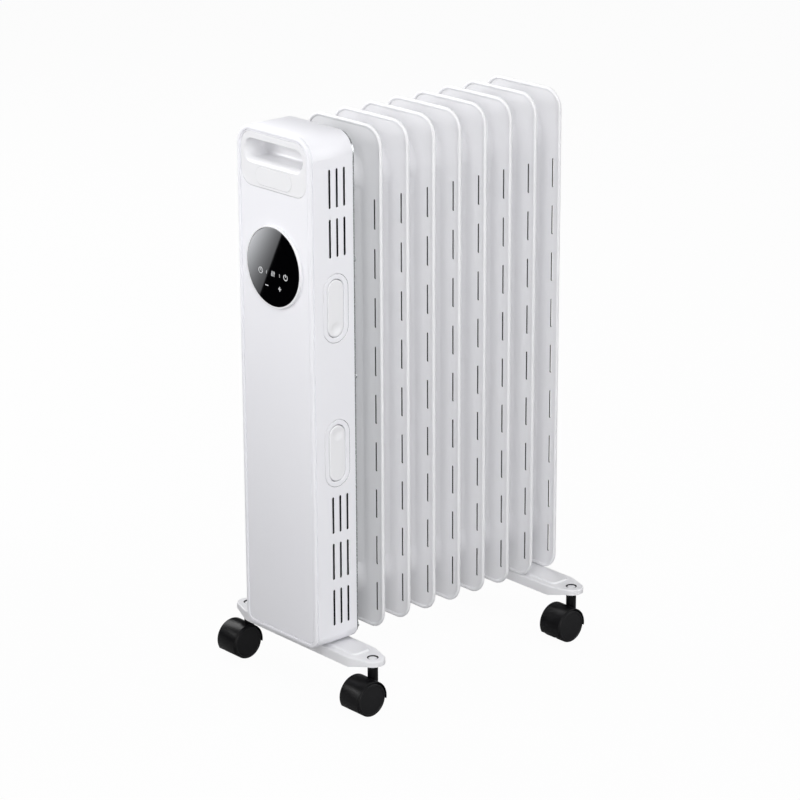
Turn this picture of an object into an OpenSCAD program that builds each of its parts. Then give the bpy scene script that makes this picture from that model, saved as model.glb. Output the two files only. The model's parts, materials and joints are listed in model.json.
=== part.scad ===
// Oil filled radiator heater on two foot bars with four hooded twin-wheel castors.
// Millimetres. +X is the side with the cord hooks, -Y the front with the display, +Z up.
// The floor is z = 0, and the origin is the middle of the footprint.

/* [Fins] */
// Width of one fin
fin_w = 123; // [116:1:140]
// Height of one fin
fin_h = 582; // [570:1:620]
// Distance from one fin to the next
fin_pitch = 38.5; // [38:0.5:46]
// Thickness of the pressed sheet, both layers together
fin_sheet = 1.6; // [1.2:0.1:2.4]
// Diameter of the rolled rim round a fin
rim_d = 4.4; // [3:0.2:6]
// Radius of a fin's upper corners
fin_top_r = 24; // [14:1:30]
// Radius of a fin's lower corners
fin_bottom_r = 22; // [14:1:30]
// Distance from the slots to the side edge of a fin
slot_inset = 11; // [8:0.5:14]
// Width of a fin slot
slot_w = 1.8; // [1.2:0.1:3]
// Length of a fin slot
slot_l = 33.4; // [24:0.2:44]
// Distance from one fin slot to the next
slot_pitch = 55.6; // [48:0.1:58]
// Height of the lowest fin slot above the fin's lower edge
slot_rise = 22.5; // [14:0.5:36]

/* [Headers and oil channels] */
// Outer diameter of the header necks that join the fins
header_d = 44; // [40:1:50]
// Wall of the header necks
header_wall = 1.8; // [1.2:0.1:3]
// Height of the lower header above the fins' lower edge
header_rise = 59; // [52:1:70]
// Distance of the upper header below the fins' upper edge
header_drop = 60; // [50:1:70]
// Radius of the flare from a fin to its neck
flare_r = 12; // [6:1:14]
// Width of one oil channel
channel_w = 26; // [18:1:30]
// Thickness of a fin across an oil channel
channel_t = 10; // [6:0.5:12]
// Distance between the two oil channels, centre to centre
channel_gap = 34; // [30:1:44]
// Thickness of the caps that close the headers
cap_t = 3; // [2:0.5:5]

/* [Heating element] */
// Diameter of the element tube
element_d = 8.5; // [6:0.5:9]
// Distance between the two legs of a hairpin
hairpin_h = 15; // [12:0.5:17]
// Distance between the two hairpins
hairpin_gap = 17; // [13:0.5:18]
// Length of the hairpins inside the header
element_l = 250; // [150:5:270]
// Thickness of the element flange
flange_t = 4; // [3:0.5:6]
// Thickness of the flange gasket
gasket_t = 1; // [0.8:0.1:2]

/* [Housing] */
// Width of the housing
housing_w = 123; // [116:1:130]
// Height of the housing
housing_h = 580; // [570:1:600]
// Depth of the rear housing shell
shell_d = 56; // [56:0.5:66]
// Wall of the housing shell
wall = 2.5; // [2:0.1:3]
// Radius of the housing's upper corners
house_top_r = 24; // [20:1:28]
// Radius of the housing's lower corners
house_bottom_r = 13; // [11:1:18]
// Distance from the parting line to the first fin
first_fin_y = 96.5; // [95:0.5:106]
// Depth of the heat shield's rim
shield_d = 3; // [2.5:0.5:4]
// Thickness of the heat shield's sheet
shield_t = 1.2; // [0.8:0.1:2]
// How far the heat shield is set in from the shell's outline
shield_inset = 2; // [1:0.5:3]

/* [Front cover] */
// Depth of the front cover in front of the parting line
cover_d = 3.2; // [2.8:0.1:5]
// Thickness of the front cover's face
cover_t = 2; // [1.8:0.1:2.4]
// Width of the front cover's soft edge
cover_edge_w = 7.5; // [4:0.5:9]
// How far the front cover falls away across its soft edge
cover_edge_drop = 1.6; // [0.8:0.1:1.6]
// Width of the shadow groove at the parting line
groove_w = 1.2; // [0.8:0.1:1.6]
// Depth of the shadow groove at the parting line
groove_d = 1.2; // [0.8:0.1:1.4]
// Depth of the lip that enters the shell
lip_d = 4; // [3:0.5:5]
// Thickness of the lip that enters the shell
lip_t = 1.5; // [1.2:0.1:2]

/* [Grip panel] */
// Distance from the housing's edge to the grip panel
panel_inset = 6; // [5.6:0.1:7]
// Height of the grip panel
panel_h = 61; // [58:1:66]
// Radius of the grip panel's lower corners
panel_bottom_r = 18; // [12:1:22]
// Width of the grip pocket
grip_w = 95; // [80:1:96]
// Height of the grip pocket
grip_h = 21; // [19:0.5:22]
// Depth of the grip pocket behind the front face
grip_d = 25; // [20:1:30]
// Distance from the top of the panel to the top of the pocket
grip_drop = 8.5; // [8:0.5:10]
// Wall of the grip pocket
grip_wall = 1.8; // [1.5:0.1:2.2]
// Radius of the pocket's rolled lip
grip_lip_r = 3; // [1.5:0.5:4]
// Width of the bare plaque
plaque_w = 60; // [40:1:70]
// Height of the bare plaque
plaque_h = 20; // [14:1:22]
// Distance from the bottom of the panel to the bottom of the plaque
plaque_rise = 4; // [3:0.5:6]
// Depth of the plaque's recess
plaque_sink = 1; // [0.6:0.1:1.2]
// How far the plaque stands proud of the panel
plaque_proud = 0.3; // [0.1:0.1:0.6]

/* [Display] */
// Diameter of the display bezel
display_d = 92; // [84:1:98]
// Height of the display's centre above the housing's lower edge
display_rise = 430; // [420:1:446]
// How far the display stands proud of the front cover
display_proud = 3; // [3:0.5:6]
// Width of the bezel's front rim
bezel_rim = 2; // [1.6:0.1:2.5]
// Thickness of the display glass
glass_t = 2; // [1.5:0.1:2.5]
// Thickness of the circuit boards
board_t = 1.6; // [1.2:0.1:2]
// How far the bezel's skirt reaches behind the cover's face
skirt_d = 5; // [4:0.5:6]

/* [Side vents] */
// Length of a vent slot
vent_l = 42.6; // [34:0.2:44]
// Width of a vent slot
vent_w = 2.8; // [2:0.1:4]
// Distance from one vent slot to the next
vent_pitch = 10.2; // [8:0.1:12]
// Distance from the parting line to the middle vent slot
vent_y = 33.2; // [32:0.2:38]
// Distance from one block of vent slots to the next
vent_block_pitch = 54.6; // [52:0.2:55]
// Distance from the upper hook's bezel up to the upper blocks of vent slots
vent_upper_gap = 18.5; // [17.5:0.5:23]
// Distance from the lower hook's bezel down to the lower blocks of vent slots
vent_lower_gap = 11.2; // [8.7:0.5:12.7]

/* [Cord hooks] */
// Width of a hook's bezel
hook_bezel_w = 35; // [33:1:38]
// Height of a hook's bezel
hook_bezel_h = 77; // [76:1:84]
// Width of a cord hook
hook_w = 22; // [18:1:24]
// Height of a cord hook
hook_h = 64; // [56:1:66]
// Thickness of a cord hook
hook_t = 3; // [2.5:0.5:4]
// Distance from a hook's pressed end to its pin
hook_arm = 16; // [14:1:20]
// Depth of the pocket behind a hook
hook_pocket_d = 13.5; // [13.5:0.5:16]
// Distance from the parting line to the middle of the hooks
hook_y = 30; // [26:1:34]
// Height of the upper hook's centre above the housing's lower edge
hook_upper_rise = 390; // [386:1:396]
// Height of the lower hook's centre above the housing's lower edge
hook_lower_rise = 225; // [222:1:232]
// Diameter of the hook pin
hook_pin_d = 3; // [2.5:0.5:3.5]
// Diameter of the hook's barrel round the pin
hook_barrel_d = 6; // [5.5:0.5:7]

/* [Foot bars] */
// Height of the foot bars' top face above the floor
bar_top = 62; // [61:1:70]
// Width of a foot bar
bar_w = 41; // [40:1:46]
// Sheet thickness of a foot bar
bar_t = 1.6; // [1.4:0.1:2.5]
// Height of a foot bar's skirt in the middle
bar_h = 11.5; // [10:0.5:13]
// Height of a foot bar's skirt at its ends
bar_end_h = 6.5; // [5:0.5:8]
// Radius of a foot bar's round ends
bar_end_r = 14; // [12:0.5:18]
// Distance from the middle to where a foot bar starts to taper
bar_taper_x = 90; // [80:1:94]
// Width of the raised pad on a foot bar
pad_w = 24; // [20:1:30]
// Height of the raised pad on a foot bar
pad_h = 1.5; // [1:0.1:2]
// Distance from the raised pad's end to the castor hole
pad_end_gap = 17; // [14:1:24]
// Distance from the parting line to the middle of the front foot bar
front_bar_y = 37.5; // [36:1:44]
// Gap between the housing and the front bar's pad
housing_gap = 2.5; // [1.5:0.1:4]
// Distance of the front bar's screws from the middle
bar_screw_x = 35; // [28:1:40]
// Diameter of the front bar's screws
bar_screw_d = 5; // [4:0.5:6]
// Diameter of the U-bolt's rod
u_bolt_d = 5; // [4:0.5:6]

/* [Castors] */
// Distance of the castor stems from the middle
castor_x = 108.5; // [106:0.5:118]
// Radius of a castor wheel
wheel_r = 19.5; // [16:0.5:20]
// Width of one castor wheel
wheel_w = 13.2; // [10:0.2:15]
// Distance from the stem to the wheels' axle, to the front
trail = 14.5; // [12:0.5:15]
// Thickness of the web between the two wheels
web_t = 4; // [3:0.5:6]
// Wall of the hood over the wheels
hood_wall = 1.5; // [1.2:0.1:2.5]
// Diameter of the hood's neck
neck_d = 11.8; // [11:0.1:14]
// Diameter of the stem
stem_d = 7; // [6:0.5:7.5]
// Length of the stem inside the hood's neck
stem_l = 18; // [12:1:19]
// Diameter of the axle
axle_d = 5; // [4:0.5:6]
// Length of the axle
axle_l = 26; // [18:1:26]

/* [Inner parts] */
// Width of the power board
board_w = 76; // [60:1:80]
// Height of the power board
board_h = 150; // [120:1:160]
// Height of the power board's middle above the housing's lower edge
board_rise = 344; // [336:1:350]
// Bore of the cord gland
gland_bore = 7; // [5:0.5:8]
// Diameter of the housing screws
screw_d = 3.8; // [3:0.1:4]

/* [Clearances] */
// Visible gap round a panel set into another
panel_gap = 0.35; // [0.2:0.05:0.6]
// Gap between pieces that slip into each other
slip_gap = 0.2; // [0.1:0.05:0.4]
// Radial gap between a pin and the bore that turns on it
run_gap = 0.05; // [0.03:0.01:0.1]
// Gap beside a part that moves
side_gap = 0.4; // [0.3:0.1:0.6]
// Gap round a cord hook
hook_gap = 0.8; // [0.7:0.1:1.2]
// Gap between a wheel's tread and its hood
tread_gap = 0.7; // [0.5:0.1:1.2]
// Gap between the fins and the rear foot bar
fin_gap = 0.2; // [0.1:0.1:0.5]

/* [Hidden] */
$fn = 48;

// Colours
shell_colour = "#f1f1f4";
panel_colour = "#f6f6f8";
fin_colour = "#efefef";
bar_colour = "#e9e9ec";
black_plastic = "#1c1c1e";
glass_colour = "#08080a";
zinc = "#c4c7ca";
rubber_black = "#2a2a2a";
board_green = "#1f6b3b";

// How far a cut runs past the face it opens
cut = 1;
fin_count = 8;
slot_count = 9;

// Heights
fin_z0 = bar_top + fin_gap;
fin_z1 = fin_z0 + fin_h;
header_z = [fin_z0 + header_rise, fin_z1 - header_drop];
house_z0 = bar_top + pad_h + housing_gap;
house_z1 = house_z0 + housing_h;

// Depths, measured from the parting line between front cover and rear housing
function fin_y(n) = first_fin_y + (n - 1) * fin_pitch;
neck_l = fin_pitch / 2;
last_neck_l = flare_r + fin_sheet;
shield_y = shell_d + shield_d;
inner_y = shield_y - shield_t;
shield_rim_inset = wall + shield_t;
face_y = -cover_d;
display_y = face_y - display_proud;
rear_reach = fin_y(fin_count) + last_neck_l + cap_t;
// Where the parting line lies, so that the whole object is centred on the origin
parting_y = -(rear_reach + display_y) / 2;

rim_r = rim_d / 2;
slot_x = fin_w / 2 - slot_inset;
header_r = header_d / 2;
header_bore_r = header_r - header_wall;
first_neck_y = first_fin_y - neck_l;
flange_y = first_neck_y - gasket_t;

panel_w = housing_w - 2 * panel_inset;
panel_z1 = house_z1 - panel_inset;
panel_z0 = panel_z1 - panel_h;
panel_top_r = house_top_r - panel_inset;
grip_z = panel_z1 - grip_drop - grip_h / 2;
plaque_z = panel_z0 + plaque_rise + plaque_h / 2;

display_z = house_z0 + display_rise;
glass_r = display_d / 2 - bezel_rim;
skirt_wall = 2;

side_x = housing_w / 2;
hook_z = [house_z0 + hook_lower_rise, house_z0 + hook_upper_rise];
hook_pin_x = side_x - hook_barrel_d / 2 - 0.5;
boss_r = 4.5;
boss_x = side_x - wall - boss_r + 0.5;
// Gap between the upper hook's bezel and the highest bosses
boss_gap = 5;
boss_rises = [13, 306, hook_upper_rise + hook_bezel_h / 2 + boss_gap + boss_r];
boss_l = 18;

rear_bar_y = fin_y(fin_count) - fin_pitch / 2;
pad_top = bar_top + pad_h;
pad_under = pad_top - bar_t;
u_bolt_r = header_r + u_bolt_d / 2 + slip_gap;
pad_x = castor_x - pad_end_gap;

stem_flange_t = 2;
stem_flange_z = bar_top - bar_t - stem_flange_t;
neck_top = stem_flange_z - side_gap;
hood_r = wheel_r + tread_gap + hood_wall;
hood_half = web_t / 2 + side_gap + wheel_w;
stem_head_r = 5.4;

carrier_t = 2;
carrier_y = shell_d - 19.5;
board_y = carrier_y - 5;
board_z = house_z0 + board_rise;
floor_z = house_z0 + wall;
bracket_t = 2.5;
bracket_edge = 9;
bracket_h = 30;

// ---------------------------------------------------------------- helpers

// Moves what is drawn from the parting line to its place round the origin
module placed() { translate([0, parting_y, 0]) children(); }

// Extrudes a drawing of the X-Z plane along Y
module slab(y0, y1) {
    translate([0, y1, 0]) rotate([90, 0, 0]) linear_extrude(y1 - y0) children();
}

// Extrudes a drawing of the Y-Z plane along X
module slab_x(x0, x1) {
    translate([x0, 0, 0]) rotate([90, 0, 90]) linear_extrude(x1 - x0) children();
}

// Cuboid with the middle of its front face at x, y, z
module lump(size, x, y, z) { translate([x - size[0] / 2, y, z - size[2] / 2]) cube(size); }

module rod_x(r, x0, x1, y, z) { translate([x0, y, z]) rotate([0, 90, 0]) cylinder(r = r, h = x1 - x0); }
module rod_y(r, y0, y1, x, z) { translate([x, y1, z]) rotate([90, 0, 0]) cylinder(r = r, h = y1 - y0); }
module rod_z(r, z0, z1, x, y) { translate([x, y, z0]) cylinder(r = r, h = z1 - z0); }

module block(x0, x1, y0, y1, z0, z1) {
    translate([x0, y0, z0]) cube([x1 - x0, y1 - y0, z1 - z0]);
}

// Rectangle about the Z axis line with its own upper and lower corner radii
module round_rect(w, z0, z1, top_r, bottom_r) {
    translate([-w / 2, z0 + bottom_r]) square([w, z1 - z0 - top_r - bottom_r]);
    translate([-w / 2 + top_r, z1 - top_r]) square([w - 2 * top_r, top_r]);
    translate([-w / 2 + bottom_r, z0]) square([w - 2 * bottom_r, bottom_r]);
    for (side = [-1, 1]) {
        translate([side * (w / 2 - top_r), z1 - top_r]) circle(top_r);
        translate([side * (w / 2 - bottom_r), z0 + bottom_r]) circle(bottom_r);
    }
}

// Upright bar with round ends, centred
module racetrack(w, h) {
    square([w, h - w], center = true);
    for (end = [-1, 1]) translate([0, end * (h - w) / 2]) circle(w / 2);
}

// Lying bar with round ends, centred
module stadium(w, h) { rotate(90) racetrack(h, w); }

// Round bead along the edge of a round_rect of the same sizes, in the plane y = 0
module edge_bead(w, z0, z1, top_r, bottom_r, r) {
    around_round_rect(w, z0, z1, top_r, bottom_r) translate([r, 0]) circle(r);
}

// Carries a section round the outline of a round_rect of the same sizes: x runs inwards from the
// outline, and y becomes depth
module around_round_rect(w, z0, z1, top_r, bottom_r) {
    for (side = [0, 1]) mirror([side, 0, 0]) {
        translate([w / 2, 0, z0 + bottom_r]) linear_extrude(z1 - z0 - top_r - bottom_r)
            mirror([1, 0]) children();
        translate([w / 2 - top_r, 0, z1 - top_r]) rotate([-90, 0, 0])
            rotate_extrude(angle = -90) translate([top_r, 0]) mirror([1, 0]) children();
        translate([w / 2 - bottom_r, 0, z0 + bottom_r]) rotate([-90, 0, 0])
            rotate_extrude(angle = 90) translate([bottom_r, 0]) mirror([1, 0]) children();
    }
    translate([-w / 2 + top_r, 0, z1]) rotate([90, 0, 90]) linear_extrude(w - 2 * top_r)
        rotate(-90) children();
    translate([w / 2 - bottom_r, 0, z0]) rotate([90, 0, -90]) linear_extrude(w - 2 * bottom_r)
        rotate(90) children();
}

// ---------------------------------------------------------------- radiator

module fin_outline() {
    difference() {
        round_rect(fin_w - rim_d, fin_z0 + rim_r, fin_z1 - rim_r, fin_top_r - rim_r, fin_bottom_r - rim_r);
        for (side = [-1, 1], k = [0 : slot_count - 1])
            translate([side * slot_x, fin_z0 + slot_rise + slot_l / 2 + k * slot_pitch])
                racetrack(slot_w, slot_l);
    }
}

// Two shallow arcs back to back, the section of an oil channel
channel_arc_r = (channel_w * channel_w + channel_t * channel_t) / (4 * channel_t);
channel_arc_off = channel_arc_r - channel_t / 2;

// Both oil channels of a fin, or what is inside them when inset by the sheet of one side
module oil_channels(inset) {
    r = channel_arc_r - inset;
    for (side = [-1, 1]) translate([side * channel_gap / 2, 0, 0]) {
        translate([0, 0, header_z[0]]) linear_extrude(header_z[1] - header_z[0]) intersection() {
            translate([0, channel_arc_off]) circle(r);
            translate([0, -channel_arc_off]) circle(r);
        }
        for (z = header_z) translate([0, 0, z]) intersection() {
            translate([0, channel_arc_off, 0]) sphere(r);
            translate([0, -channel_arc_off, 0]) sphere(r);
        }
    }
}

// Neck drawn out of the sheet, with its flare, along +Z
module header_neck(l) {
    rise = fin_sheet / 2 + flare_r;
    cylinder(r = header_r, h = l);
    rotate_extrude() difference() {
        square([header_r + flare_r, rise]);
        translate([header_r + flare_r, rise]) circle(flare_r);
    }
}

module fin(n) {
    rear_l = n == fin_count ? last_neck_l : neck_l;
    color(fin_colour) placed() translate([0, fin_y(n), 0]) difference() {
        union() {
            slab(-fin_sheet / 2, fin_sheet / 2) fin_outline();
            edge_bead(fin_w, fin_z0, fin_z1, fin_top_r, fin_bottom_r, rim_r);
            oil_channels(0);
            for (z = header_z) translate([0, 0, z]) {
                rotate([90, 0, 0]) header_neck(neck_l);
                rotate([-90, 0, 0]) header_neck(rear_l);
            }
        }
        for (z = header_z) rod_y(header_bore_r, -neck_l - cut, rear_l + cut, 0, z);
        oil_channels(fin_sheet / 2);
    }
}

// Closes the rear end of both headers
module header_end_caps() {
    y = fin_y(fin_count) + last_neck_l;
    color(fin_colour) placed() for (z = header_z) {
        rod_y(header_r, y, y + cap_t, 0, z);
        rod_y(header_bore_r - slip_gap, y - cap_t, y, 0, z);
    }
}

// Cap on the front end of the upper header, with a hexagonal plug for filling
plug_y = first_neck_y - cap_t;
plug_hex_r = 8;
plug_hex_l = 5;
module filler_plug() {
    color(zinc) placed() {
        rod_y(header_r, plug_y, first_neck_y, 0, header_z[1]);
        rod_y(header_bore_r - slip_gap, first_neck_y, first_neck_y + cap_t, 0, header_z[1]);
        slab(plug_y - plug_hex_l, plug_y) translate([0, header_z[1]]) circle(plug_hex_r, $fn = 6);
    }
}

module heating_element() {
    front_y = flange_y - flange_t;
    back_y = flange_y + element_l;
    tube_r = element_d / 2;
    collar_r = tube_r - 1.5;
    collar_l = 12;
    stud_r = 1.2;
    stud_l = 8;
    color(zinc) placed() {
        rod_y(header_r, front_y, flange_y, 0, header_z[0]);
        for (side = [-1, 1]) translate([side * hairpin_gap / 2, 0, header_z[0]]) {
            for (leg = [-1, 1]) translate([0, 0, leg * hairpin_h / 2]) {
                rod_y(tube_r, flange_y, back_y, 0, 0);
                rod_y(collar_r, front_y - collar_l, front_y, 0, 0);
                rod_y(stud_r, front_y - collar_l - stud_l, front_y - collar_l, 0, 0);
            }
            translate([0, back_y, 0]) rotate([0, 90, 0])
                rotate_extrude(angle = 180) translate([hairpin_h / 2, 0]) circle(tube_r);
        }
    }
}

module element_gasket() {
    color(rubber_black) placed() difference() {
        rod_y(header_r, flange_y, first_neck_y, 0, header_z[0]);
        rod_y(header_bore_r, flange_y - cut, first_neck_y + cut, 0, header_z[0]);
    }
}

// Rings that carry the heat shield on the ends of the two headers
module header_spacers() {
    ends = [flange_y - flange_t, plug_y];
    spacer_wall = 4;
    color(zinc) placed() for (k = [0, 1]) difference() {
        rod_y(header_r, shield_y, ends[k], 0, header_z[k]);
        rod_y(header_r - spacer_wall, shield_y - cut, ends[k] + cut, 0, header_z[k]);
    }
}

// ---------------------------------------------------------------- housing

module housing_outline(inset) {
    round_rect(housing_w - 2 * inset, house_z0 + inset, house_z1 - inset, house_top_r - inset,
        house_bottom_r - inset);
}

// Places of the screws that hold the shell to the heat shield
module at_bosses() {
    for (side = [-1, 1], rise = boss_rises) translate([side * boss_x, 0, house_z0 + rise]) children();
}

// Places of the screws that hold the base bracket to the heat shield
bracket_screw_x = 32;
bracket_screw_z = floor_z + 22;
module at_bracket_screws() {
    for (side = [-1, 1]) translate([side * bracket_screw_x, 0, bracket_screw_z]) children();
}

module heat_shield() {
    hole_r = header_r - 7;
    color(zinc) placed() difference() {
        slab(shell_d, shield_y) housing_outline(shield_inset);
        slab(shell_d - cut, inner_y) housing_outline(shield_rim_inset);
        rod_y(hole_r, shell_d, shield_y + cut, 0, header_z[0]);
        at_bosses() rod_y(screw_d / 2 + slip_gap, shell_d - cut, shield_y + cut, 0, 0);
        at_bracket_screws() rod_y(screw_d / 2 + slip_gap, shell_d - cut, shield_y + cut, 0, 0);
    }
}

module vent_slots() {
    upper_rise = hook_upper_rise + hook_bezel_h / 2 + vent_upper_gap;
    lower_rise = hook_lower_rise - hook_bezel_h / 2 - vent_lower_gap - vent_l;
    upper = [for (k = [0, 1]) upper_rise + k * vent_block_pitch];
    lower = [for (k = [0 : 2]) lower_rise - k * vent_block_pitch];
    for (side = [0, 1]) mirror([side, 0, 0])
        for (rise = concat(upper, lower), k = [-1 : 1])
            slab_x(side_x - wall - cut, side_x + cut)
                translate([vent_y + k * vent_pitch, house_z0 + rise + vent_l / 2]) racetrack(vent_w, vent_l);
}

module rear_housing() {
    color(shell_colour) placed() difference() {
        union() {
            difference() {
                slab(0, shell_d) housing_outline(0);
                slab(-cut, shell_d + cut) housing_outline(wall);
            }
            at_bosses() rod_y(boss_r, shell_d - boss_l, shell_d, 0, 0);
        }
        vent_slots();
        for (z = hook_z) slab_x(side_x - wall - cut, side_x + cut)
            translate([hook_y, z]) racetrack(hook_bezel_w + 2 * panel_gap, hook_bezel_h + 2 * panel_gap);
        at_bosses() rod_y(screw_d / 2, shell_d - boss_l - cut, shell_d + cut, 0, 0);
        rod_z(gland_r + slip_gap, house_z0 - cut, floor_z + cut, gland_x, gland_y);
        for (side = [-1, 1])
            rod_z(bar_screw_d / 2 + slip_gap, house_z0 - cut, floor_z + cut, side * bar_screw_x, front_bar_y);
    }
}

module front_cover() {
    edge_d = cover_d - groove_w;
    arc_r = (cover_edge_w * cover_edge_w + cover_edge_drop * cover_edge_drop) / (2 * cover_edge_drop);
    color(shell_colour) placed() difference() {
        union() {
            difference() {
                union() {
                    slab(face_y, -groove_w) housing_outline(cover_edge_w);
                    translate([0, face_y, 0])
                        around_round_rect(housing_w, house_z0, house_z1, house_top_r, house_bottom_r)
                            intersection() {
                                square([cover_edge_w, edge_d]);
                                translate([cover_edge_w, arc_r]) circle(arc_r);
                            }
                    slab(-groove_w, 0) housing_outline(groove_d);
                    slab(0, lip_d) housing_outline(wall + slip_gap);
                }
                slab(face_y + cover_t, lip_d + cut) housing_outline(wall + slip_gap + lip_t);
            }
            // Ledge that the grip panel rests on
            slab(face_y + cover_t, face_y + cover_t + ledge_t) panel_outline(-ledge_w);
        }
        slab(face_y - cut, face_y + cover_t) panel_outline(-panel_gap);
        slab(face_y, face_y + cover_t + ledge_t + cut) panel_outline(ledge_w);
        rod_y(glass_r, face_y - cut, face_y + cover_t + cut, 0, display_z);
    }
}

// ---------------------------------------------------------------- grip panel and plaque

ledge_t = 1.4;
ledge_w = 2;

module panel_outline(inset) {
    round_rect(panel_w - 2 * inset, panel_z0 + inset, panel_z1 - inset, panel_top_r - inset,
        panel_bottom_r - inset);
}

// Half of the pocket's section: x is the distance from its middle line, y the depth
module pocket_section(r, depth, lip, floor_r) {
    square([r - floor_r, depth]);
    square([r, depth - floor_r]);
    translate([r - floor_r, depth - floor_r]) circle(floor_r);
    difference() {
        square([r + lip, lip]);
        translate([r + lip, lip]) circle(lip);
    }
}

// Carries a half section round a lying bar with round ends, depth along +Y
module around_stadium(w, h) {
    straight = w - h;
    for (side = [0, 1]) mirror([side, 0, 0]) translate([straight / 2, 0, 0])
        rotate([-90, 90, 0]) rotate_extrude(angle = -180) children();
    for (side = [0, 1]) mirror([0, 0, side]) translate([-straight / 2, 0, 0])
        rotate([90, 0, 90]) linear_extrude(straight) rotate(90) mirror([0, 1]) children();
}

module grip_panel() {
    pocket_back = grip_d + grip_wall;
    color(panel_colour) placed() difference() {
        union() {
            slab(face_y, face_y + cover_t) panel_outline(0);
            slab(face_y + cover_t, face_y + pocket_back) translate([0, grip_z])
                stadium(grip_w + 2 * grip_wall, grip_h + 2 * grip_wall);
        }
        translate([0, face_y, grip_z]) around_stadium(grip_w, grip_h)
            pocket_section(grip_h / 2, grip_d, grip_lip_r, grip_lip_r);
        slab(face_y - cut, face_y + plaque_sink) translate([0, plaque_z])
            stadium(plaque_w + 2 * slip_gap, plaque_h + 2 * slip_gap);
    }
}

module name_plaque() {
    color(panel_colour) placed() slab(face_y - plaque_proud, face_y + plaque_sink)
        translate([0, plaque_z]) stadium(plaque_w, plaque_h);
}

// ---------------------------------------------------------------- display

module display_bezel() {
    ledge_y = display_y + glass_t;
    color(shell_colour) placed() difference() {
        union() {
            rod_y(display_d / 2, display_y, face_y, 0, display_z);
            rod_y(glass_r - slip_gap, face_y, face_y + skirt_d, 0, display_z);
        }
        rod_y(glass_r, display_y - cut, ledge_y, 0, display_z);
        rod_y(glass_r - slip_gap - skirt_wall, ledge_y - cut, face_y + skirt_d + cut, 0, display_z);
    }
}

module display_glass() {
    color(glass_colour) placed() rod_y(glass_r - slip_gap / 2, display_y, display_y + glass_t, 0, display_z);
}

module touch_board() {
    front_y = display_y + glass_t;
    back_y = front_y + board_t;
    chip = [18, 2, 10];
    chip_z = display_z - 17;
    plug = [12, 5, 6];
    plug_z = display_z + 17;
    color(board_green) placed() {
        rod_y(glass_r - skirt_wall - 2 * slip_gap, front_y, back_y, 0, display_z);
        lump(chip, 0, back_y, chip_z);
        lump(plug, 0, back_y, plug_z);
    }
}

// ---------------------------------------------------------------- cord hooks

hook_back_t = 1.5;
hook_flange_t = 1.6;
hook_flange_w = 2;
// Height of the pin above the middle of the hook; the pressed end is the one nearer the pin
hook_pin_rise = hook_h / 2 - hook_arm;

// up is 1 where the long arm points up, and -1 where it points down
module hook_bezel(z, up) {
    color(shell_colour) placed() translate([0, hook_y, z]) difference() {
        union() {
            slab_x(side_x - hook_pocket_d - hook_back_t, side_x) racetrack(hook_bezel_w, hook_bezel_h);
            slab_x(side_x - wall - hook_flange_t, side_x - wall)
                racetrack(hook_bezel_w + 2 * hook_flange_w, hook_bezel_h + 2 * hook_flange_w);
        }
        slab_x(side_x - hook_pocket_d, side_x + cut) racetrack(hook_w + 2 * hook_gap, hook_h + 2 * hook_gap);
        rod_y(hook_pin_d / 2, -hook_bezel_w, hook_bezel_w, hook_pin_x, -up * hook_pin_rise);
    }
}

module cord_hook(z, up) {
    dimple_r = 21;
    dimple_d = 1.2;
    dimple_z = -up * (hook_h / 2 - 9);
    rib_h = 3;
    rib_half = 1;
    rib_far = up * (hook_h / 2 - 8);
    barrel_half = hook_w / 2 - 2;
    pin_z = -up * hook_pin_rise;
    color(panel_colour) placed() translate([0, hook_y, z]) difference() {
        union() {
            slab_x(side_x - hook_t, side_x) racetrack(hook_w, hook_h);
            rod_y(hook_barrel_d / 2, -barrel_half, barrel_half, hook_pin_x, pin_z);
            for (side = [-1, 1]) translate([0, side * hook_w / 5, 0])
                block(side_x - hook_t - rib_h, side_x - hook_t, -rib_half, rib_half,
                    min(pin_z, rib_far), max(pin_z, rib_far));
        }
        rod_y(hook_pin_d / 2 + run_gap, -hook_w, hook_w, hook_pin_x, pin_z);
        translate([side_x + dimple_r - dimple_d, 0, dimple_z]) sphere(dimple_r);
    }
}

module hook_pins() {
    half = hook_bezel_w / 2 - 1;
    color(zinc) placed() for (k = [0, 1])
        rod_y(hook_pin_d / 2, hook_y - half, hook_y + half, hook_pin_x,
            hook_z[k] + (k == 0 ? 1 : -1) * hook_pin_rise);
}

// ---------------------------------------------------------------- inner parts

module board_carrier() {
    half_w = board_w / 2 + 2;
    half_h = board_h / 2 + 5;
    corner_r = 5;
    leg_r = 4;
    leg_inset = 8;
    post_r = 3;
    post_inset = 5;
    color(panel_colour) placed() translate([0, 0, board_z]) {
        slab(carrier_y, carrier_y + carrier_t) round_rect(2 * half_w, -half_h, half_h, corner_r, corner_r);
        for (sx = [-1, 1], sz = [-1, 1]) {
            rod_y(leg_r, carrier_y + carrier_t, inner_y, sx * (half_w - leg_inset), sz * (half_h - leg_inset));
            rod_y(post_r, board_y + board_t, carrier_y, sx * (board_w / 2 - post_inset),
                sz * (board_h / 2 - post_inset));
        }
    }
}

// Relays, transformer and connectors on the power board: middle x and z, width, height, depth
board_lumps = [
    [17.5, -52, 19, 16, 15], [17.5, -30, 19, 16, 15], [-18, -46, 24, 24, 18],
    [-22, 60, 16, 8, 8], [0, 60, 16, 8, 8], [22, 60, 16, 8, 8]
];
// Capacitors on the power board: middle x and z, radius, depth
board_cans = [[-24, -16, 5, 16], [-10, -16, 5, 16]];

module power_board() {
    color(board_green) placed() translate([0, 0, board_z]) {
        lump([board_w, board_t, board_h], 0, board_y, 0);
        for (l = board_lumps) lump([l[2], l[4], l[3]], l[0], board_y - l[4], l[1]);
        for (c = board_cans) rod_y(c[2], board_y - c[3], board_y, c[0], c[1]);
    }
}

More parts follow.
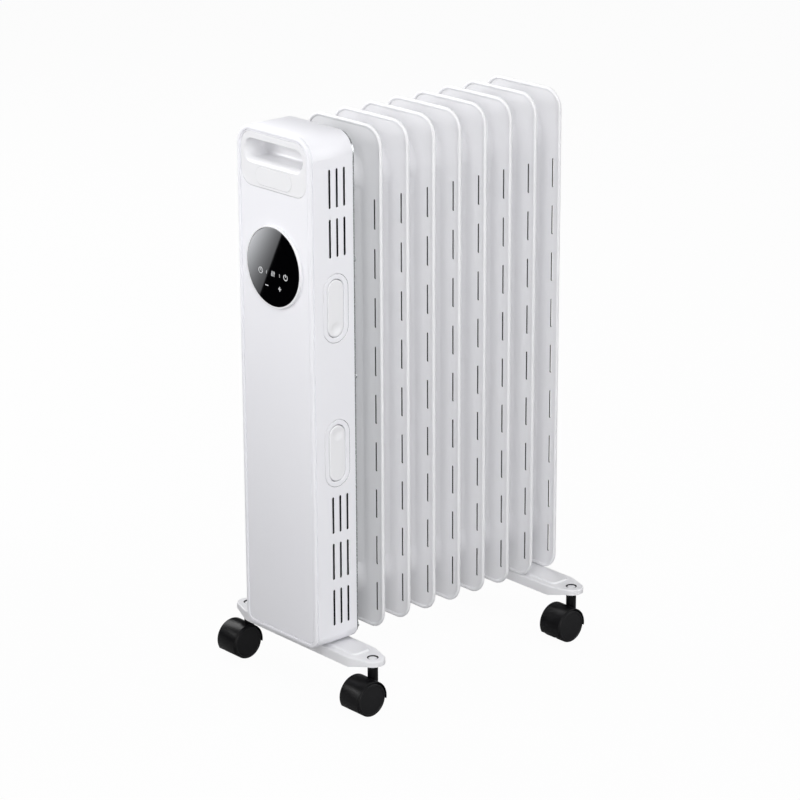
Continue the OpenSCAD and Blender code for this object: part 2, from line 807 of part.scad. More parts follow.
module tilt_switch() {
    case = [26, 15, 26];
    dome_r = 9;
    dome_l = 3;
    z = house_z0 + 185;
    case_y = inner_y - case[1];
    color(black_plastic) placed() {
        lump(case, 0, case_y, z);
        rod_y(dome_r, case_y - dome_l, case_y, 0, z);
    }
}

module thermal_cutout() {
    z = house_z0 + 466;
    strap_t = 1;
    can_r = 8;
    can_l = 6;
    tab = [2, 8, 6];
    tab_x = 4;
    strap_y = inner_y - strap_t;
    color(zinc) placed() {
        slab(strap_y, inner_y) translate([0, z]) stadium(30, 12);
        rod_y(can_r, strap_y - can_l, strap_y, 0, z);
        for (side = [-1, 1]) lump(tab, side * tab_x, strap_y - can_l - tab[1], z);
    }
}

module temperature_sensor() {
    foot = [10, 8, 8];
    bulb_r = 2.4;
    bulb_z = 20;
    color(black_plastic) placed() translate([sensor_x, gland_y, floor_z]) {
        lump(foot, 0, -foot[1] / 2, foot[2] / 2);
        rod_z(bulb_r, foot[2], bulb_z, 0, 0);
        translate([0, 0, bulb_z]) sphere(bulb_r);
    }
}

module terminal_block() {
    case = [42, 16, 18];
    hole_r = 3;
    hole_l = 8;
    hole_pitch = 13;
    z = house_z0 + 121;
    case_y = inner_y - case[1];
    color(panel_colour) placed() difference() {
        lump(case, 0, case_y, z);
        for (k = [-1 : 1]) rod_y(hole_r, case_y - cut, case_y + hole_l, k * hole_pitch, z);
    }
}

gland_x = -30;
gland_y = 13;
gland_wall = 1.8;
gland_r = gland_bore / 2 + gland_wall;
gland_flange_w = 2;
gland_flange_t = 1.6;
sensor_x = 31;

module cord_gland() {
    flange_r = gland_r + gland_flange_w;
    color(rubber_black) placed() translate([gland_x, gland_y, 0]) difference() {
        union() {
            rod_z(flange_r, house_z0 - gland_flange_t, house_z0, 0, 0);
            rod_z(gland_r, house_z0, floor_z, 0, 0);
            rod_z(flange_r, floor_z, floor_z + gland_flange_t, 0, 0);
        }
        rod_z(gland_bore / 2, house_z0 - gland_flange_t - cut, floor_z + gland_flange_t + cut, 0, 0);
    }
}

// Steel angle on the floor of the shell that the front foot bar is screwed to
module base_bracket() {
    half_x = bar_screw_x + bracket_edge;
    front_y = front_bar_y - bracket_edge;
    top_z = floor_z + bracket_h;
    shield_rim_z = house_z0 + shield_rim_inset;
    color(zinc) placed() difference() {
        union() {
            block(-half_x, half_x, front_y, inner_y, floor_z, floor_z + bracket_t);
            block(-half_x, half_x, inner_y - bracket_t, inner_y, floor_z, top_z);
        }
        // Room for the heat shield's rim
        block(-half_x - cut, half_x + cut, shell_d - slip_gap, inner_y + cut, floor_z - cut,
            shield_rim_z + slip_gap);
        for (side = [-1, 1])
            rod_z(bar_screw_d / 2, floor_z - cut, floor_z + bracket_t + cut, side * bar_screw_x, front_bar_y);
        at_bracket_screws() rod_y(screw_d / 2, inner_y - bracket_t - cut, inner_y + cut, 0, 0);
    }
}

module pan_screw(shank_l) {
    head_r = screw_d * 0.95;
    head_h = 2.4;
    rod_y(screw_d / 2, shield_y - shank_l, shield_y, 0, 0);
    rod_y(head_r, shield_y, shield_y + head_h, 0, 0);
}

module housing_screws() {
    color(zinc) placed() {
        at_bosses() pan_screw(boss_l - 2);
        at_bracket_screws() pan_screw(8);
    }
}

// ---------------------------------------------------------------- foot bars

// Outline of a foot bar in the X-Y plane: straight middle, tapered to round ends
module bar_outline(inset) {
    half_w = bar_w / 2 - inset;
    r = bar_end_r - inset;
    reach = norm([castor_x - bar_taper_x, half_w]);
    turn = atan2(half_w, bar_taper_x - castor_x) - acos(r / reach);
    touch = [castor_x + r * cos(turn), r * sin(turn)];
    polygon([
        [bar_taper_x, half_w], touch, [touch[0], -touch[1]], [bar_taper_x, -half_w],
        [-bar_taper_x, -half_w], [-touch[0], -touch[1]], [-touch[0], touch[1]], [-bar_taper_x, half_w]
    ]);
    for (side = [-1, 1]) translate([side * castor_x, 0]) circle(r);
}

module pad_outline(inset) {
    r = 6 - inset;
    rotate(90) round_rect(pad_w - 2 * inset, -pad_x + inset, pad_x - inset, r, r);
}

module foot_bar(y) {
    end_x = castor_x + bar_end_r;
    placed() translate([0, y, 0]) difference() {
        union() {
            translate([0, 0, bar_top - bar_h]) linear_extrude(bar_h) bar_outline(0);
            translate([0, 0, bar_top]) linear_extrude(pad_h) pad_outline(0);
            children(0);
        }
        translate([0, 0, bar_top - bar_h - cut]) linear_extrude(bar_h - bar_t + cut) bar_outline(bar_t);
        translate([0, 0, bar_top - bar_t - cut]) linear_extrude(pad_h + cut) pad_outline(bar_t);
        // The skirt gets lower towards the ends
        for (side = [0, 1]) mirror([side, 0, 0]) slab(-bar_w, bar_w) polygon([
            [bar_taper_x, bar_top - bar_h - cut], [end_x + cut, bar_top - bar_h - cut],
            [end_x + cut, bar_top - bar_end_h], [castor_x, bar_top - bar_end_h],
            [bar_taper_x, bar_top - bar_h]
        ]);
        for (side = [-1, 1])
            rod_z(stem_head_r + slip_gap, bar_top - bar_t - cut, bar_top + cut, side * castor_x, 0);
        children(1);
    }
}

module front_foot_bar() {
    seat_r = 8;
    color(bar_colour) foot_bar(front_bar_y) {
        // Round seats that the housing stands on
        for (side = [-1, 1]) rod_z(seat_r, pad_under, house_z0, side * bar_screw_x, 0);
        for (side = [-1, 1])
            rod_z(bar_screw_d / 2 + slip_gap, bar_top - bar_h, house_z0 + cut, side * bar_screw_x, 0);
    }
}

module rear_foot_bar() {
    color(bar_colour) foot_bar(rear_bar_y) {
        union() {}
        for (side = [-1, 1])
            rod_z(u_bolt_d / 2 + slip_gap, bar_top - bar_h, pad_top + cut, side * u_bolt_r, 0);
    }
}

module front_bar_screws() {
    head_h = 3.5;
    tip = 2;
    color(zinc) placed() for (side = [-1, 1]) {
        rod_z(bar_screw_d, pad_under - head_h, pad_under, side * bar_screw_x, front_bar_y);
        rod_z(bar_screw_d / 2, pad_under, floor_z + bracket_t + tip, side * bar_screw_x, front_bar_y);
    }
}

// U-bolt over the lower header
module rear_u_bolt() {
    tip = 6;
    color(zinc) placed() translate([0, rear_bar_y, 0]) {
        translate([0, 0, header_z[0]]) rotate([90, 0, 0])
            rotate_extrude(angle = 180) translate([u_bolt_r, 0]) circle(u_bolt_d / 2);
        for (side = [-1, 1]) rod_z(u_bolt_d / 2, pad_under - nut_h - tip, header_z[0], side * u_bolt_r, 0);
    }
}

// Wing nuts of the U-bolt, under the rear foot bar
nut_h = 7;
nut_wing_w = 22;
nut_wing_t = 2.5;
nut_wing_h = 7;
nut_wing_drop = 2;
module rear_wing_nuts() {
    color(zinc) placed() for (side = [-1, 1]) translate([side * u_bolt_r, rear_bar_y, pad_under]) difference() {
        union() {
            rod_z(u_bolt_d, -nut_h, 0, 0, 0);
            block(-nut_wing_w / 2, nut_wing_w / 2, -nut_wing_t / 2, nut_wing_t / 2,
                -nut_wing_drop - nut_wing_h, -nut_wing_drop);
        }
        rod_z(u_bolt_d / 2, -nut_wing_drop - nut_wing_h - cut, cut, 0, 0);
    }
}

// ---------------------------------------------------------------- castors

function castor_at(front, right) = [right * castor_x, front ? front_bar_y : rear_bar_y];

module at_castor(front, right) {
    place = castor_at(front, right);
    placed() translate([place[0], place[1], 0]) children();
}

module castor_stem(front, right) {
    head_top = bar_top - 0.6;
    flange_r = neck_d / 2 + 1;
    color(zinc) at_castor(front, right) {
        rod_z(stem_head_r, stem_flange_z + stem_flange_t, head_top, 0, 0);
        rod_z(flange_r, stem_flange_z, stem_flange_z + stem_flange_t, 0, 0);
        rod_z(stem_d / 2, neck_top - stem_l, stem_flange_z, 0, 0);
    }
}

// Angles below level, at the axle, at which the hood ends: away from its trailing end and at it
hood_near_angle = 9;
hood_far_angle = 29;

module castor_hood(front, right) {
    space_r = wheel_r + tread_gap;
    far = 2 * wheel_r;
    notch_half = 1.6;
    notch_z = neck_top - 4;
    below = [-hood_near_angle, -45, -90, -135, hood_far_angle - 180];
    color(black_plastic) at_castor(front, right) difference() {
        union() {
            rod_x(hood_r, -hood_half, hood_half, -trail, wheel_r);
            rod_z(neck_d / 2, wheel_r, neck_top, 0, 0);
        }
        for (side = [0, 1]) mirror([side, 0, 0]) rod_x(space_r, web_t / 2, hood_half + cut, -trail, wheel_r);
        // Everything below the hood's two ends, but for the boss round the axle
        slab_x(-hood_half - cut, hood_half + cut) translate([-trail, wheel_r]) difference() {
            polygon([[0, 0], for (a = below) far * [cos(a), sin(a)]]);
            circle(axle_d);
        }
        rod_x(axle_d / 2, -hood_half, hood_half, -trail, wheel_r);
        rod_z(stem_d / 2 + run_gap, neck_top - stem_l - side_gap, neck_top + cut, 0, 0);
        block(-neck_d, neck_d, -notch_half, notch_half, notch_z, neck_top + cut);
    }
}

module castor_axle(front, right) {
    color(zinc) at_castor(front, right) rod_x(axle_d / 2, -axle_l / 2, axle_l / 2, -trail, wheel_r);
}

// Half section of a wheel: x is the radius, y runs from the inner face to the outer one
module wheel_section() {
    edge_r = 1.2;
    rim_wall = 3;
    disc_t = 3;
    dish_wall = 2.4;
    dish_d = 0.8;
    bore_l = (axle_l - web_t) / 2;
    difference() {
        union() {
            square([wheel_r - edge_r, wheel_w]);
            translate([0, edge_r]) square([wheel_r, wheel_w - 2 * edge_r]);
            for (y = [edge_r, wheel_w - edge_r]) translate([wheel_r - edge_r, y]) circle(edge_r);
        }
        translate([-cut, -cut]) square([axle_d / 2 + run_gap + cut, bore_l + cut]);
        translate([axle_d, -cut]) square([wheel_r - axle_d - rim_wall, wheel_w - disc_t + cut]);
        translate([-cut, wheel_w - dish_d]) square([wheel_r - dish_wall + cut, dish_d + cut]);
    }
}

// side is 1 for the wheel on the +X side of its web, and -1 for the other
module castor_wheel(front, right, side) {
    color(black_plastic) at_castor(front, right) translate([0, -trail, wheel_r])
        rotate([0, side * 90, 0]) translate([0, 0, web_t / 2 + side_gap]) rotate_extrude() wheel_section();
}

// ---------------------------------------------------------------- nodes

fin(1);  // fin_1
fin(2);  // fin_2
fin(3);  // fin_3
fin(4);  // fin_4
fin(5);  // fin_5
fin(6);  // fin_6
fin(7);  // fin_7
fin(8);  // fin_8
header_end_caps();
filler_plug();
heating_element();
element_gasket();
header_spacers();
heat_shield();
rear_housing();
front_cover();
grip_panel();
name_plaque();
display_bezel();
display_glass();
touch_board();
hook_bezel(hook_z[1], 1);  // hook_bezel_upper
hook_bezel(hook_z[0], -1);  // hook_bezel_lower
cord_hook(hook_z[1], 1);  // cord_hook_upper
cord_hook(hook_z[0], -1);  // cord_hook_lower
hook_pins();
power_board();
board_carrier();
tilt_switch();
thermal_cutout();
temperature_sensor();
terminal_block();
cord_gland();
base_bracket();
housing_screws();
front_foot_bar();
rear_foot_bar();
front_bar_screws();
rear_u_bolt();
rear_wing_nuts();
castor_stem(true, -1);  // stem_front_left
castor_hood(true, -1);  // hood_front_left
castor_axle(true, -1);  // axle_front_left
castor_wheel(true, -1, -1);  // wheel_front_left_outer
castor_wheel(true, -1, 1);  // wheel_front_left_inner
castor_stem(true, 1);  // stem_front_right
castor_hood(true, 1);  // hood_front_right
castor_axle(true, 1);  // axle_front_right
castor_wheel(true, 1, 1);  // wheel_front_right_outer
castor_wheel(true, 1, -1);  // wheel_front_right_inner
castor_stem(false, -1);  // stem_rear_left
castor_hood(false, -1);  // hood_rear_left
castor_axle(false, -1);  // axle_rear_left
castor_wheel(false, -1, -1);  // wheel_rear_left_outer
castor_wheel(false, -1, 1);  // wheel_rear_left_inner
castor_stem(false, 1);  // stem_rear_right
castor_hood(false, 1);  // hood_rear_right
castor_axle(false, 1);  // axle_rear_right
castor_wheel(false, 1, 1);  // wheel_rear_right_outer
castor_wheel(false, 1, -1);  // wheel_rear_right_inner
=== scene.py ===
# %% [markdown]
# # An oil filled radiator heater
#
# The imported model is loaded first. It is the frame: every piece made below takes its size and its
# place from the solids' own boxes, so the dressed heater can't drift away from the one that moves.

# %% Load the frame
import json
import math

import bmesh
import bpy
import numpy as np
from mathutils import Matrix, Vector
from mathutils.geometry import tessellate_polygon


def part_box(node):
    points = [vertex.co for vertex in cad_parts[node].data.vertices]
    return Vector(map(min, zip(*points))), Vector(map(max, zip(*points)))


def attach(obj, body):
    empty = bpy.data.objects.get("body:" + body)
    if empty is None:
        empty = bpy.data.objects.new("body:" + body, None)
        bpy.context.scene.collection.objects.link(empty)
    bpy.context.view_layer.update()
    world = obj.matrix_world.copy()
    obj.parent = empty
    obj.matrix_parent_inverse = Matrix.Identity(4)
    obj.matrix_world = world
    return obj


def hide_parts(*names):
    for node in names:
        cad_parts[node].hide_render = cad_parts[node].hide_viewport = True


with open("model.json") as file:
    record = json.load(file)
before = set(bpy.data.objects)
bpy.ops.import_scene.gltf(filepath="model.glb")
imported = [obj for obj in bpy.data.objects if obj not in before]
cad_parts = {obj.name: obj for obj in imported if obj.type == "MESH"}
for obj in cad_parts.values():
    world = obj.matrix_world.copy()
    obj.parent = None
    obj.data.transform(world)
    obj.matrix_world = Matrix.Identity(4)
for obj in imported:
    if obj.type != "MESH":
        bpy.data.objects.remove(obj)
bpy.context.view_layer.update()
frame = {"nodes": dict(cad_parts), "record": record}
MM = 0.001  # the drawings are in millimetres, Blender's unit is the metre

# %% [markdown]
# ## Reading sizes off the solids
#
# A size that the solids already hold is measured, not typed again. The box of a node gives its
# edges in metres, and one small function turns it into millimetres, the unit of all the drawings below.

# %% Measure the solids
def box_mm(node):
    """Lowest and highest corner of a solid, in millimetres."""
    low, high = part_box(node)
    return np.array(low) / MM, np.array(high) / MM


cover_lo = box_mm("front_cover")[0]
shell_lo, shell_hi = box_mm("rear_housing")
panel_lo, panel_hi = box_mm("grip_panel")
plaque_lo, plaque_hi = box_mm("name_plaque")
bezel_lo, bezel_hi = box_mm("display_bezel")
fin_lo, fin_hi = box_mm("fin_1")
fin_pitch = box_mm("fin_2")[0][1] - fin_lo[1]
fin_planes = fin_lo[1] + fin_pitch * (np.arange(8) + 0.5)
print("housing", np.round(shell_hi - shell_lo, 1), "fin pitch", round(fin_pitch, 2))

# %% [markdown]
# ## Making meshes from arrays
#
# Every new piece is a surface worked out with numpy: a grid of points, given by a formula, whose
# neighbours are joined by four-sided faces. One function makes the faces for a grid of any size, one
# welds several such patches into a piece and finishes its shading, and one fills a flat face that has
# holes in it.

# %% Patches and pieces
WELD_MM = 0.004  # points closer than this become one


def patch(points, close_u=False, close_v=False, flip=False):
    """Faces for a grid of points with shape (rows, columns, 3): each face joins point (i, j) to
    (i+1, j), (i+1, j+1) and (i, j+1), and a closed direction wraps round."""
    rows, cols = points.shape[:2]
    i = np.arange(rows if close_u else rows - 1)[:, None]
    j = np.arange(cols if close_v else cols - 1)[None, :]
    i2, j2 = (i + 1) % rows, (j + 1) % cols
    quads = np.stack([i * cols + j, i2 * cols + j, i2 * cols + j2, i * cols + j2], -1).reshape(-1, 4)
    return points.reshape(-1, 3), quads[:, ::-1] if flip else quads


def plate(outline, holes, depth, axis="y", flip=False):
    """A flat face between a closed outline and its holes, as triangles, at a depth along an axis. The
    loops are arrays of flat points."""
    loops = [outline, *holes]
    flat = [[Vector((float(x), float(y), 0.0)) for x, y in loop] for loop in loops]
    tris = np.array(tessellate_polygon(flat))
    points = np.concatenate(loops)
    a, b, c = (points[tris[:, k]] for k in range(3))
    turn = (b - a)[:, 0] * (c - a)[:, 1] - (b - a)[:, 1] * (c - a)[:, 0]
    tris[turn < 0] = tris[turn < 0][:, ::-1]
    return place(points, depth, axis), tris[:, ::-1] if flip else tris


def keeps_smooth(edge, limit):
    """An edge is drawn soft where its faces meet at less than the limit. Where a flat filled face of
    triangles meets a skinned wall of quads it is drawn hard, so that the flat stays flat, unless the two
    lie within half a degree of each other."""
    if len(edge.link_faces) != 2:
        return False
    one, two = edge.link_faces
    turn = edge.calc_face_angle(0.0)
    return turn < limit and (len(one.verts) == len(two.verts) or turn < math.radians(0.5))


def piece(name, patches, material, body, replaces=(), sharp=35, outward=True, second=None,
          second_patches=()):
    """Welds patches, in millimetres, into one object that rides on a body and stands for nodes. Its faces
    are turned outwards unless the patches already point the right way. A second material can be given
    for a few of the patches."""
    patches = [*patches, *second_patches]
    starts = np.cumsum([0] + [len(points) for points, _ in patches])
    points = np.concatenate([points for points, _ in patches]) * MM
    faces = [face for (_, part), start in zip(patches, starts) for face in (part + start).tolist()]
    mesh = bpy.data.meshes.new(name)
    mesh.from_pydata(points.tolist(), [], faces)
    mesh.materials.append(material)
    if second:
        mesh.materials.append(second)
        first_faces = len(faces) - sum(len(part) for _, part in second_patches)
        mesh.polygons.foreach_set("material_index", (np.arange(len(faces)) >= first_faces).astype(int))
    mesh.shade_smooth()
    work = bmesh.new()
    work.from_mesh(mesh)
    bmesh.ops.remove_doubles(work, verts=work.verts, dist=WELD_MM * MM)
    bmesh.ops.dissolve_degenerate(work, edges=work.edges, dist=WELD_MM / 2 * MM)
    if outward:
        bmesh.ops.recalc_face_normals(work, faces=work.faces)
    for edge in work.edges:
        edge.smooth = keeps_smooth(edge, math.radians(sharp))
    work.to_mesh(mesh)
    work.free()
    made = bpy.data.objects.new(name, mesh)
    bpy.context.scene.collection.objects.link(made)
    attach(made, body)
    if replaces:
        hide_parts(*replaces)
    print(f"{name}: {len(mesh.vertices)} points, {len(mesh.polygons)} faces")


# %% [markdown]
# ## Loops that shapes are carried along
#
# Most of the heater is drawn round a loop: the housing is a rectangle with round corners, the grip
# and the hooks are bars with round ends, the display is a circle. A loop function returns its points
# for a given inset, always with the same count, so a stack of loops with different insets and depths
# skins into a smooth wall.

# %% Loop functions
def arc(cx, cz, r, start, end, n):
    """Points at radius r round a centre, from one angle to another, in degrees."""
    t = np.radians(np.linspace(start, end, n))
    return np.stack([cx + r * np.cos(t), cz + r * np.sin(t)], -1)


def round_rect(x0, x1, z0, z1, top_r, low_r, inset=0.0, n=14):
    """Rectangle with round corners, counter-clockwise from the right side's lower end. An inset moves
    every side in and makes each corner radius smaller by as much."""
    tr, lr = top_r - inset, low_r - inset
    a, b, c, d = x0 + inset, x1 - inset, z0 + inset, z1 - inset
    return np.concatenate([
        arc(b - tr, d - tr, tr, 0, 90, n), arc(a + tr, d - tr, tr, 90, 180, n),
        arc(a + lr, c + lr, lr, 180, 270, n), arc(b - lr, c + lr, lr, 270, 360, n),
    ])


def bar_loop(cx, cz, w, h, inset=0.0, n=24, m=0):
    """Bar with round ends about a centre, upright where it is taller than wide, with n points on each
    end and m more on each straight side."""
    r, s = min(w, h) / 2 - inset, abs(h - w) / 2
    start = 0 if h > w else -90
    shift = np.array([0, s]) if h > w else np.array([s, 0])
    one, two = (arc(cx, cz, r, a, a + 180, n) + way * shift for a, way in ((start, 1), (start + 180, -1)))
    t = np.linspace(0, 1, m + 2)[1:-1, None]
    return np.concatenate([one, one[-1] + t * (two[0] - one[-1]), two, two[-1] + t * (one[0] - two[-1])])


def circle_loop(cx, cz, r, n=96):
    """Full circle, counter-clockwise."""
    return arc(cx, cz, r, 0, 360, n + 1)[:-1]


def quarter_round(r, n=4):
    """Insets and depths of a rounded edge, from flat on the face to upright: at angle t the inset is
    r (1 - sin t) and the depth r (1 - cos t)."""
    t = np.radians(np.linspace(0, 90, n))
    return r * (1 - np.sin(t)), r * (1 - np.cos(t))


# %% From loops to walls
def place(loop, depth, axis="y"):
    """Carries flat points to space, at a depth along an axis. A loop's two numbers are X and Z where the
    depth runs along Y, Y and Z where it runs along X, and X and Y where it runs along Z."""
    d = np.broadcast_to(np.asarray(depth, float), loop.shape[:1])
    a, b = loop[:, 0], loop[:, 1]
    return np.stack({"y": [a, d, b], "x": [d, a, b], "z": [a, b, d]}[axis], -1)


def skin(loops, depths, axis="y"):
    """Wall through a stack of loops, each at its own depth."""
    return patch(np.array([place(loop, depth, axis) for loop, depth in zip(loops, depths)]), close_v=True)


def turned(profile, cx, cz, n=96, axis="y", base=0.0):
    """Closed surface of revolution from (radius, depth) pairs. A radius of 0 closes an end: its ring is
    so small that it is welded to one point."""
    return skin([circle_loop(cx, cz, max(r, 1e-4), n) for r, _ in profile], [base + d for _, d in profile],
                axis)


# %% [markdown]
# ## Materials
#
# Nearly everything is white, so the finishes have to be told apart by their gloss and grain: powder
# coat on the steel fins and bars has a faint orange peel, the moulded housing a fine spark-eroded
# grain, the hand panel a smooth polish. One function adds a node with its settings and its links, one
# turns the hex colours, which are sRGB, into the linear numbers that the shader wants, and one starts
# a material with an empty node tree.

# %% Node helper and colours
def linear(hex_colour):
    """sRGB hex to linear RGBA: divide by 12.92 near black, else ((c + 0.055) / 1.055) to the 2.4."""
    srgb = np.array([int(hex_colour[k:k + 2], 16) for k in (1, 3, 5)]) / 255
    rgb = np.where(srgb <= 0.04045, srgb / 12.92, ((srgb + 0.055) / 1.055) ** 2.4)
    return (*map(float, rgb), 1.0)


def add(tree, kind, links=None, sockets=None, **settings):
    """Adds a node, sets its properties and sockets, and links the outputs given for its inputs."""
    node = tree.nodes.new(kind)
    for key, value in settings.items():
        setattr(node, key, value)
    for key, value in (sockets or {}).items():
        node.inputs[key].default_value = value
    for key, output in (links or {}).items():
        tree.links.new(output, node.inputs[key])
    return node


def blank_material(name):
    """A new material and its node tree, which is still empty."""
    material = bpy.data.materials.new(name)
    material.use_nodes = True
    material.node_tree.nodes.clear()
    return material, material.node_tree


def finish(name, colour, shade, grain_mm, grain_depth, roughness, spread=0.05, metallic=0.0, ior=1.5,
           gloss=0.5):
    """A surface whose colour drifts between two near tones, over about 110 mm, and whose grain, a noise
    with the given size in millimetres, moves both its roughness and its height."""
    material, tree = blank_material(name)
    where = add(tree, "ShaderNodeTexCoord").outputs["Object"]
    grain = add(tree, "ShaderNodeTexNoise", {"Vector": where},
                {"Scale": 1 / (grain_mm * MM), "Detail": 3.0, "Roughness": 0.55}).outputs["Fac"]
    drift = add(tree, "ShaderNodeTexNoise", {"Vector": where}, {"Scale": 9.0, "Detail": 2.0}).outputs["Fac"]
    tone = add(tree, "ShaderNodeMix", {"Factor": drift}, data_type="RGBA")
    tone.inputs["A"].default_value = linear(colour)
    tone.inputs["B"].default_value = linear(shade)
    rough = add(tree, "ShaderNodeMapRange", {"Value": grain},
                {"To Min": max(roughness - spread, 0.02), "To Max": roughness + spread}).outputs["Result"]
    bump = add(tree, "ShaderNodeBump", {"Height": grain},
               {"Strength": 0.5, "Distance": grain_depth * MM}).outputs["Normal"]
    shader = add(tree, "ShaderNodeBsdfPrincipled",
                 {"Base Color": tone.outputs["Result"], "Roughness": rough, "Normal": bump},
                 {"Metallic": metallic, "IOR": ior, "Specular IOR Level": gloss})
    add(tree, "ShaderNodeOutputMaterial", {"Surface": shader.outputs[0]})
    return material


# %% Finishes of the heater
# Powder coat on pressed steel: polyester baked on, satin, with an orange peel about 1.5 mm across.
powder_white = finish("powder_coated_steel", "#ececee", "#e8e8eb", 1.6, 0.02, 0.38, 0.06)
# Moulded ABS with a fine spark-eroded grain, drawn at 0.5 mm because the real 0.1 mm wouldn't show.
grained_abs = finish("spark_grained_abs", "#ececf0", "#e9e9ee", 0.5, 0.012, 0.42, 0.05)
# Polished ABS of the hand panel and the hooks: nearly smooth, with a soft gloss.
polished_abs = finish("polished_abs", "#ebebed", "#e8e8eb", 4.0, 0.01, 0.24, 0.03)
# Toughened glass with black enamel on its back: deep black, sharp gloss.
enamelled_glass = finish("black_enamelled_glass", "#020203", "#030304", 20.0, 0.0001, 0.015, 0.005, ior=1.52)
# Painted shade on the walls inside slots, vents and castor holes: near black and dull, as little light gets
# in.
opening_shade_paint = finish("painted_shade_in_openings", "#0d0d0e", "#121213", 0.8, 0.01, 0.7, 0.05, gloss=0.15)
# Bright zinc plate on screws, stems and axles: a fine milky spangle.
zinc_plate = finish("bright_zinc_plate", "#c9ccce", "#b9bdc0", 0.8, 0.006, 0.27, 0.08, metallic=1.0)
# Drawn steel tube of the element, greyed by heat.
drawn_steel = finish("drawn_steel_tube", "#8f8b86", "#7c7873", 1.2, 0.01, 0.4, 0.08, metallic=1.0)
# EPDM rubber of gasket and gland: dull, with a moulded skin.
epdm_rubber = finish("epdm_rubber", "#161617", "#1d1d1e", 0.8, 0.02, 0.75, 0.06)
# Fibreglass board under green solder mask.
solder_mask = finish("green_solder_mask", "#0f5a2e", "#0c4a26", 1.0, 0.004, 0.3, 0.05)
# Polypropylene of the castor hoods: black, satin, with a fine grain that scuffs a little paler.
black_pp = finish("satin_polypropylene", "#08080a", "#0c0c0e", 0.6, 0.014, 0.34, 0.06, gloss=0.2)
# Nylon of the wheels: harder and a little greyer than the hoods, polished by the floor.
wheel_nylon = finish("black_nylon", "#101012", "#151517", 0.9, 0.012, 0.4, 0.06, gloss=0.25)
# Ceramic ink printed behind the glass for the touch keys.
key_print = finish("pale_key_print", "#eceef0", "#e6e8ea", 2.0, 0.001, 0.5, 0.02)

slot_finish = {
    "fin_paint": powder_white, "bar_paint": powder_white, "shell_plastic": grained_abs,
    "panel_plastic": polished_abs, "display_glass": enamelled_glass, "zinc_steel": zinc_plate,
    "element_steel": drawn_steel, "seal_rubber": epdm_rubber, "circuit_board": solder_mask,
    "black_plastic": black_pp, "wheel_plastic": wheel_nylon,
}
node_slot = {row["node"]: row["material_slot"] for row in frame["record"]["subparts"]}
for name, solid in frame["nodes"].items():
    solid.data.materials.clear()
    solid.data.materials.append(slot_finish[node_slot[name]])
print("finishes:", len(slot_finish), "solids finished:", len(node_slot))

# %% [markdown]
# ## Housing: front cover
#
# The front of the slim control housing is one injection moulded ABS panel that snaps into the shell.
# A soft raised border runs round it, with a fine groove between the border and the flat face. The
# border is drawn as a stack of loops, each with its own inset and depth, so its section can be read
# off two short lists. The flat face is filled up to the openings for the hand panel and the display.

# %% Outlines of the housing
seam_y, face_y = shell_lo[1], cover_lo[1]
wall_mm, slit_mm, cover_mm = 2.5, 0.35, 2.0
top_corner_r, low_corner_r, corner_n = 24.0, 13.0, 14


def house_loop(inset):
    """The housing's outline: its corners are larger at the top than at the bottom."""
    return round_rect(shell_lo[0], shell_hi[0], shell_lo[2], shell_hi[2], top_corner_r, low_corner_r, inset,
                      corner_n)


def panel_loop(inset):
    """Outline of the hand panel, 0.9 mm inside its solid's so that the border stays broad."""
    return round_rect(panel_lo[0], panel_hi[0], panel_lo[2], panel_hi[2], 18.0, 18.0, inset + 0.9)


# %% Front cover
ring_overlap = 2.1  # the display's ring covers its hole in the cover by this much
display_x, display_z = (bezel_lo[0] + bezel_hi[0]) / 2, (bezel_lo[2] + bezel_hi[2]) / 2
display_r = (bezel_hi[0] - bezel_lo[0]) / 2
display_hole = circle_loop(display_x, display_z, display_r - ring_overlap)
panel_hole = panel_loop(-slit_mm)
openings = [panel_hole, display_hole]
back_y = face_y + cover_mm
# The border's loops: the gap at the seam, the round edge, the crest, the groove and the flat face.
border_inset = np.array([1.2, 1.2, 0.0, 0.0, 0.15, 0.6, 1.3, 2.2, 3.2, 4.2, 4.7, 4.9, 5.0, 5.9, 6.0, 6.5])
border_depth = -np.array([0.0, 1.2, 1.2, 1.9, 2.6, 3.3, 3.75, 4.0, 4.05, 3.95, 3.7, 3.3, 2.4, 2.4, 3.1, 3.2])
# The lip inside the border reaches 4 mm into the shell, and its last loop is the back of the flat face.
lip_inset = np.array([1.2, 2.7, 2.7, 4.2, 4.2])
lip_depth = np.array([0.0, 0.0, 4.0, 4.0, -1.2])
piece("front_cover_panel", [
    skin([house_loop(s) for s in border_inset], seam_y + border_depth),
    skin([house_loop(s) for s in lip_inset], seam_y + lip_depth),
    plate(house_loop(border_inset[-1]), openings, face_y),
    plate(house_loop(lip_inset[-1]), openings, back_y),
    *[skin([hole, hole], [face_y, back_y]) for hole in openings],
], grained_abs, "heater", ["front_cover"])

# %% [markdown]
# ## Housing: shell
#
# Behind the cover sits the shell, a deep moulded frame whose sides carry the slots that let the
# electronics breathe and the openings of the two cord hooks. Its curved top and bottom are skinned
# like the border. Each flat side is one plate with holes, and every hole gets a rounded mouth. The
# walls inside the holes are painted near black, a painted shade, because hardly any light gets in there.

# %% Openings in the sides
hook_nodes = {"upper": "cord_hook_upper", "lower": "cord_hook_lower"}
frame_box = {key: box_mm(f"hook_bezel_{key}") for key in hook_nodes}
frame_w, frame_l = 35.0, 77.0
vent_w, vent_l, vent_pitch, vent_middle_y = 2.8, 42.6, 10.2, seam_y + 33.2
vent_rises = [23.5, 78.1, 132.7, 447.0, 501.6]  # from the housing's bottom to each group of three
vent_places = [(vent_middle_y + k * vent_pitch, shell_lo[2] + rise + vent_l / 2)
               for rise in vent_rises for k in (-1, 0, 1)]


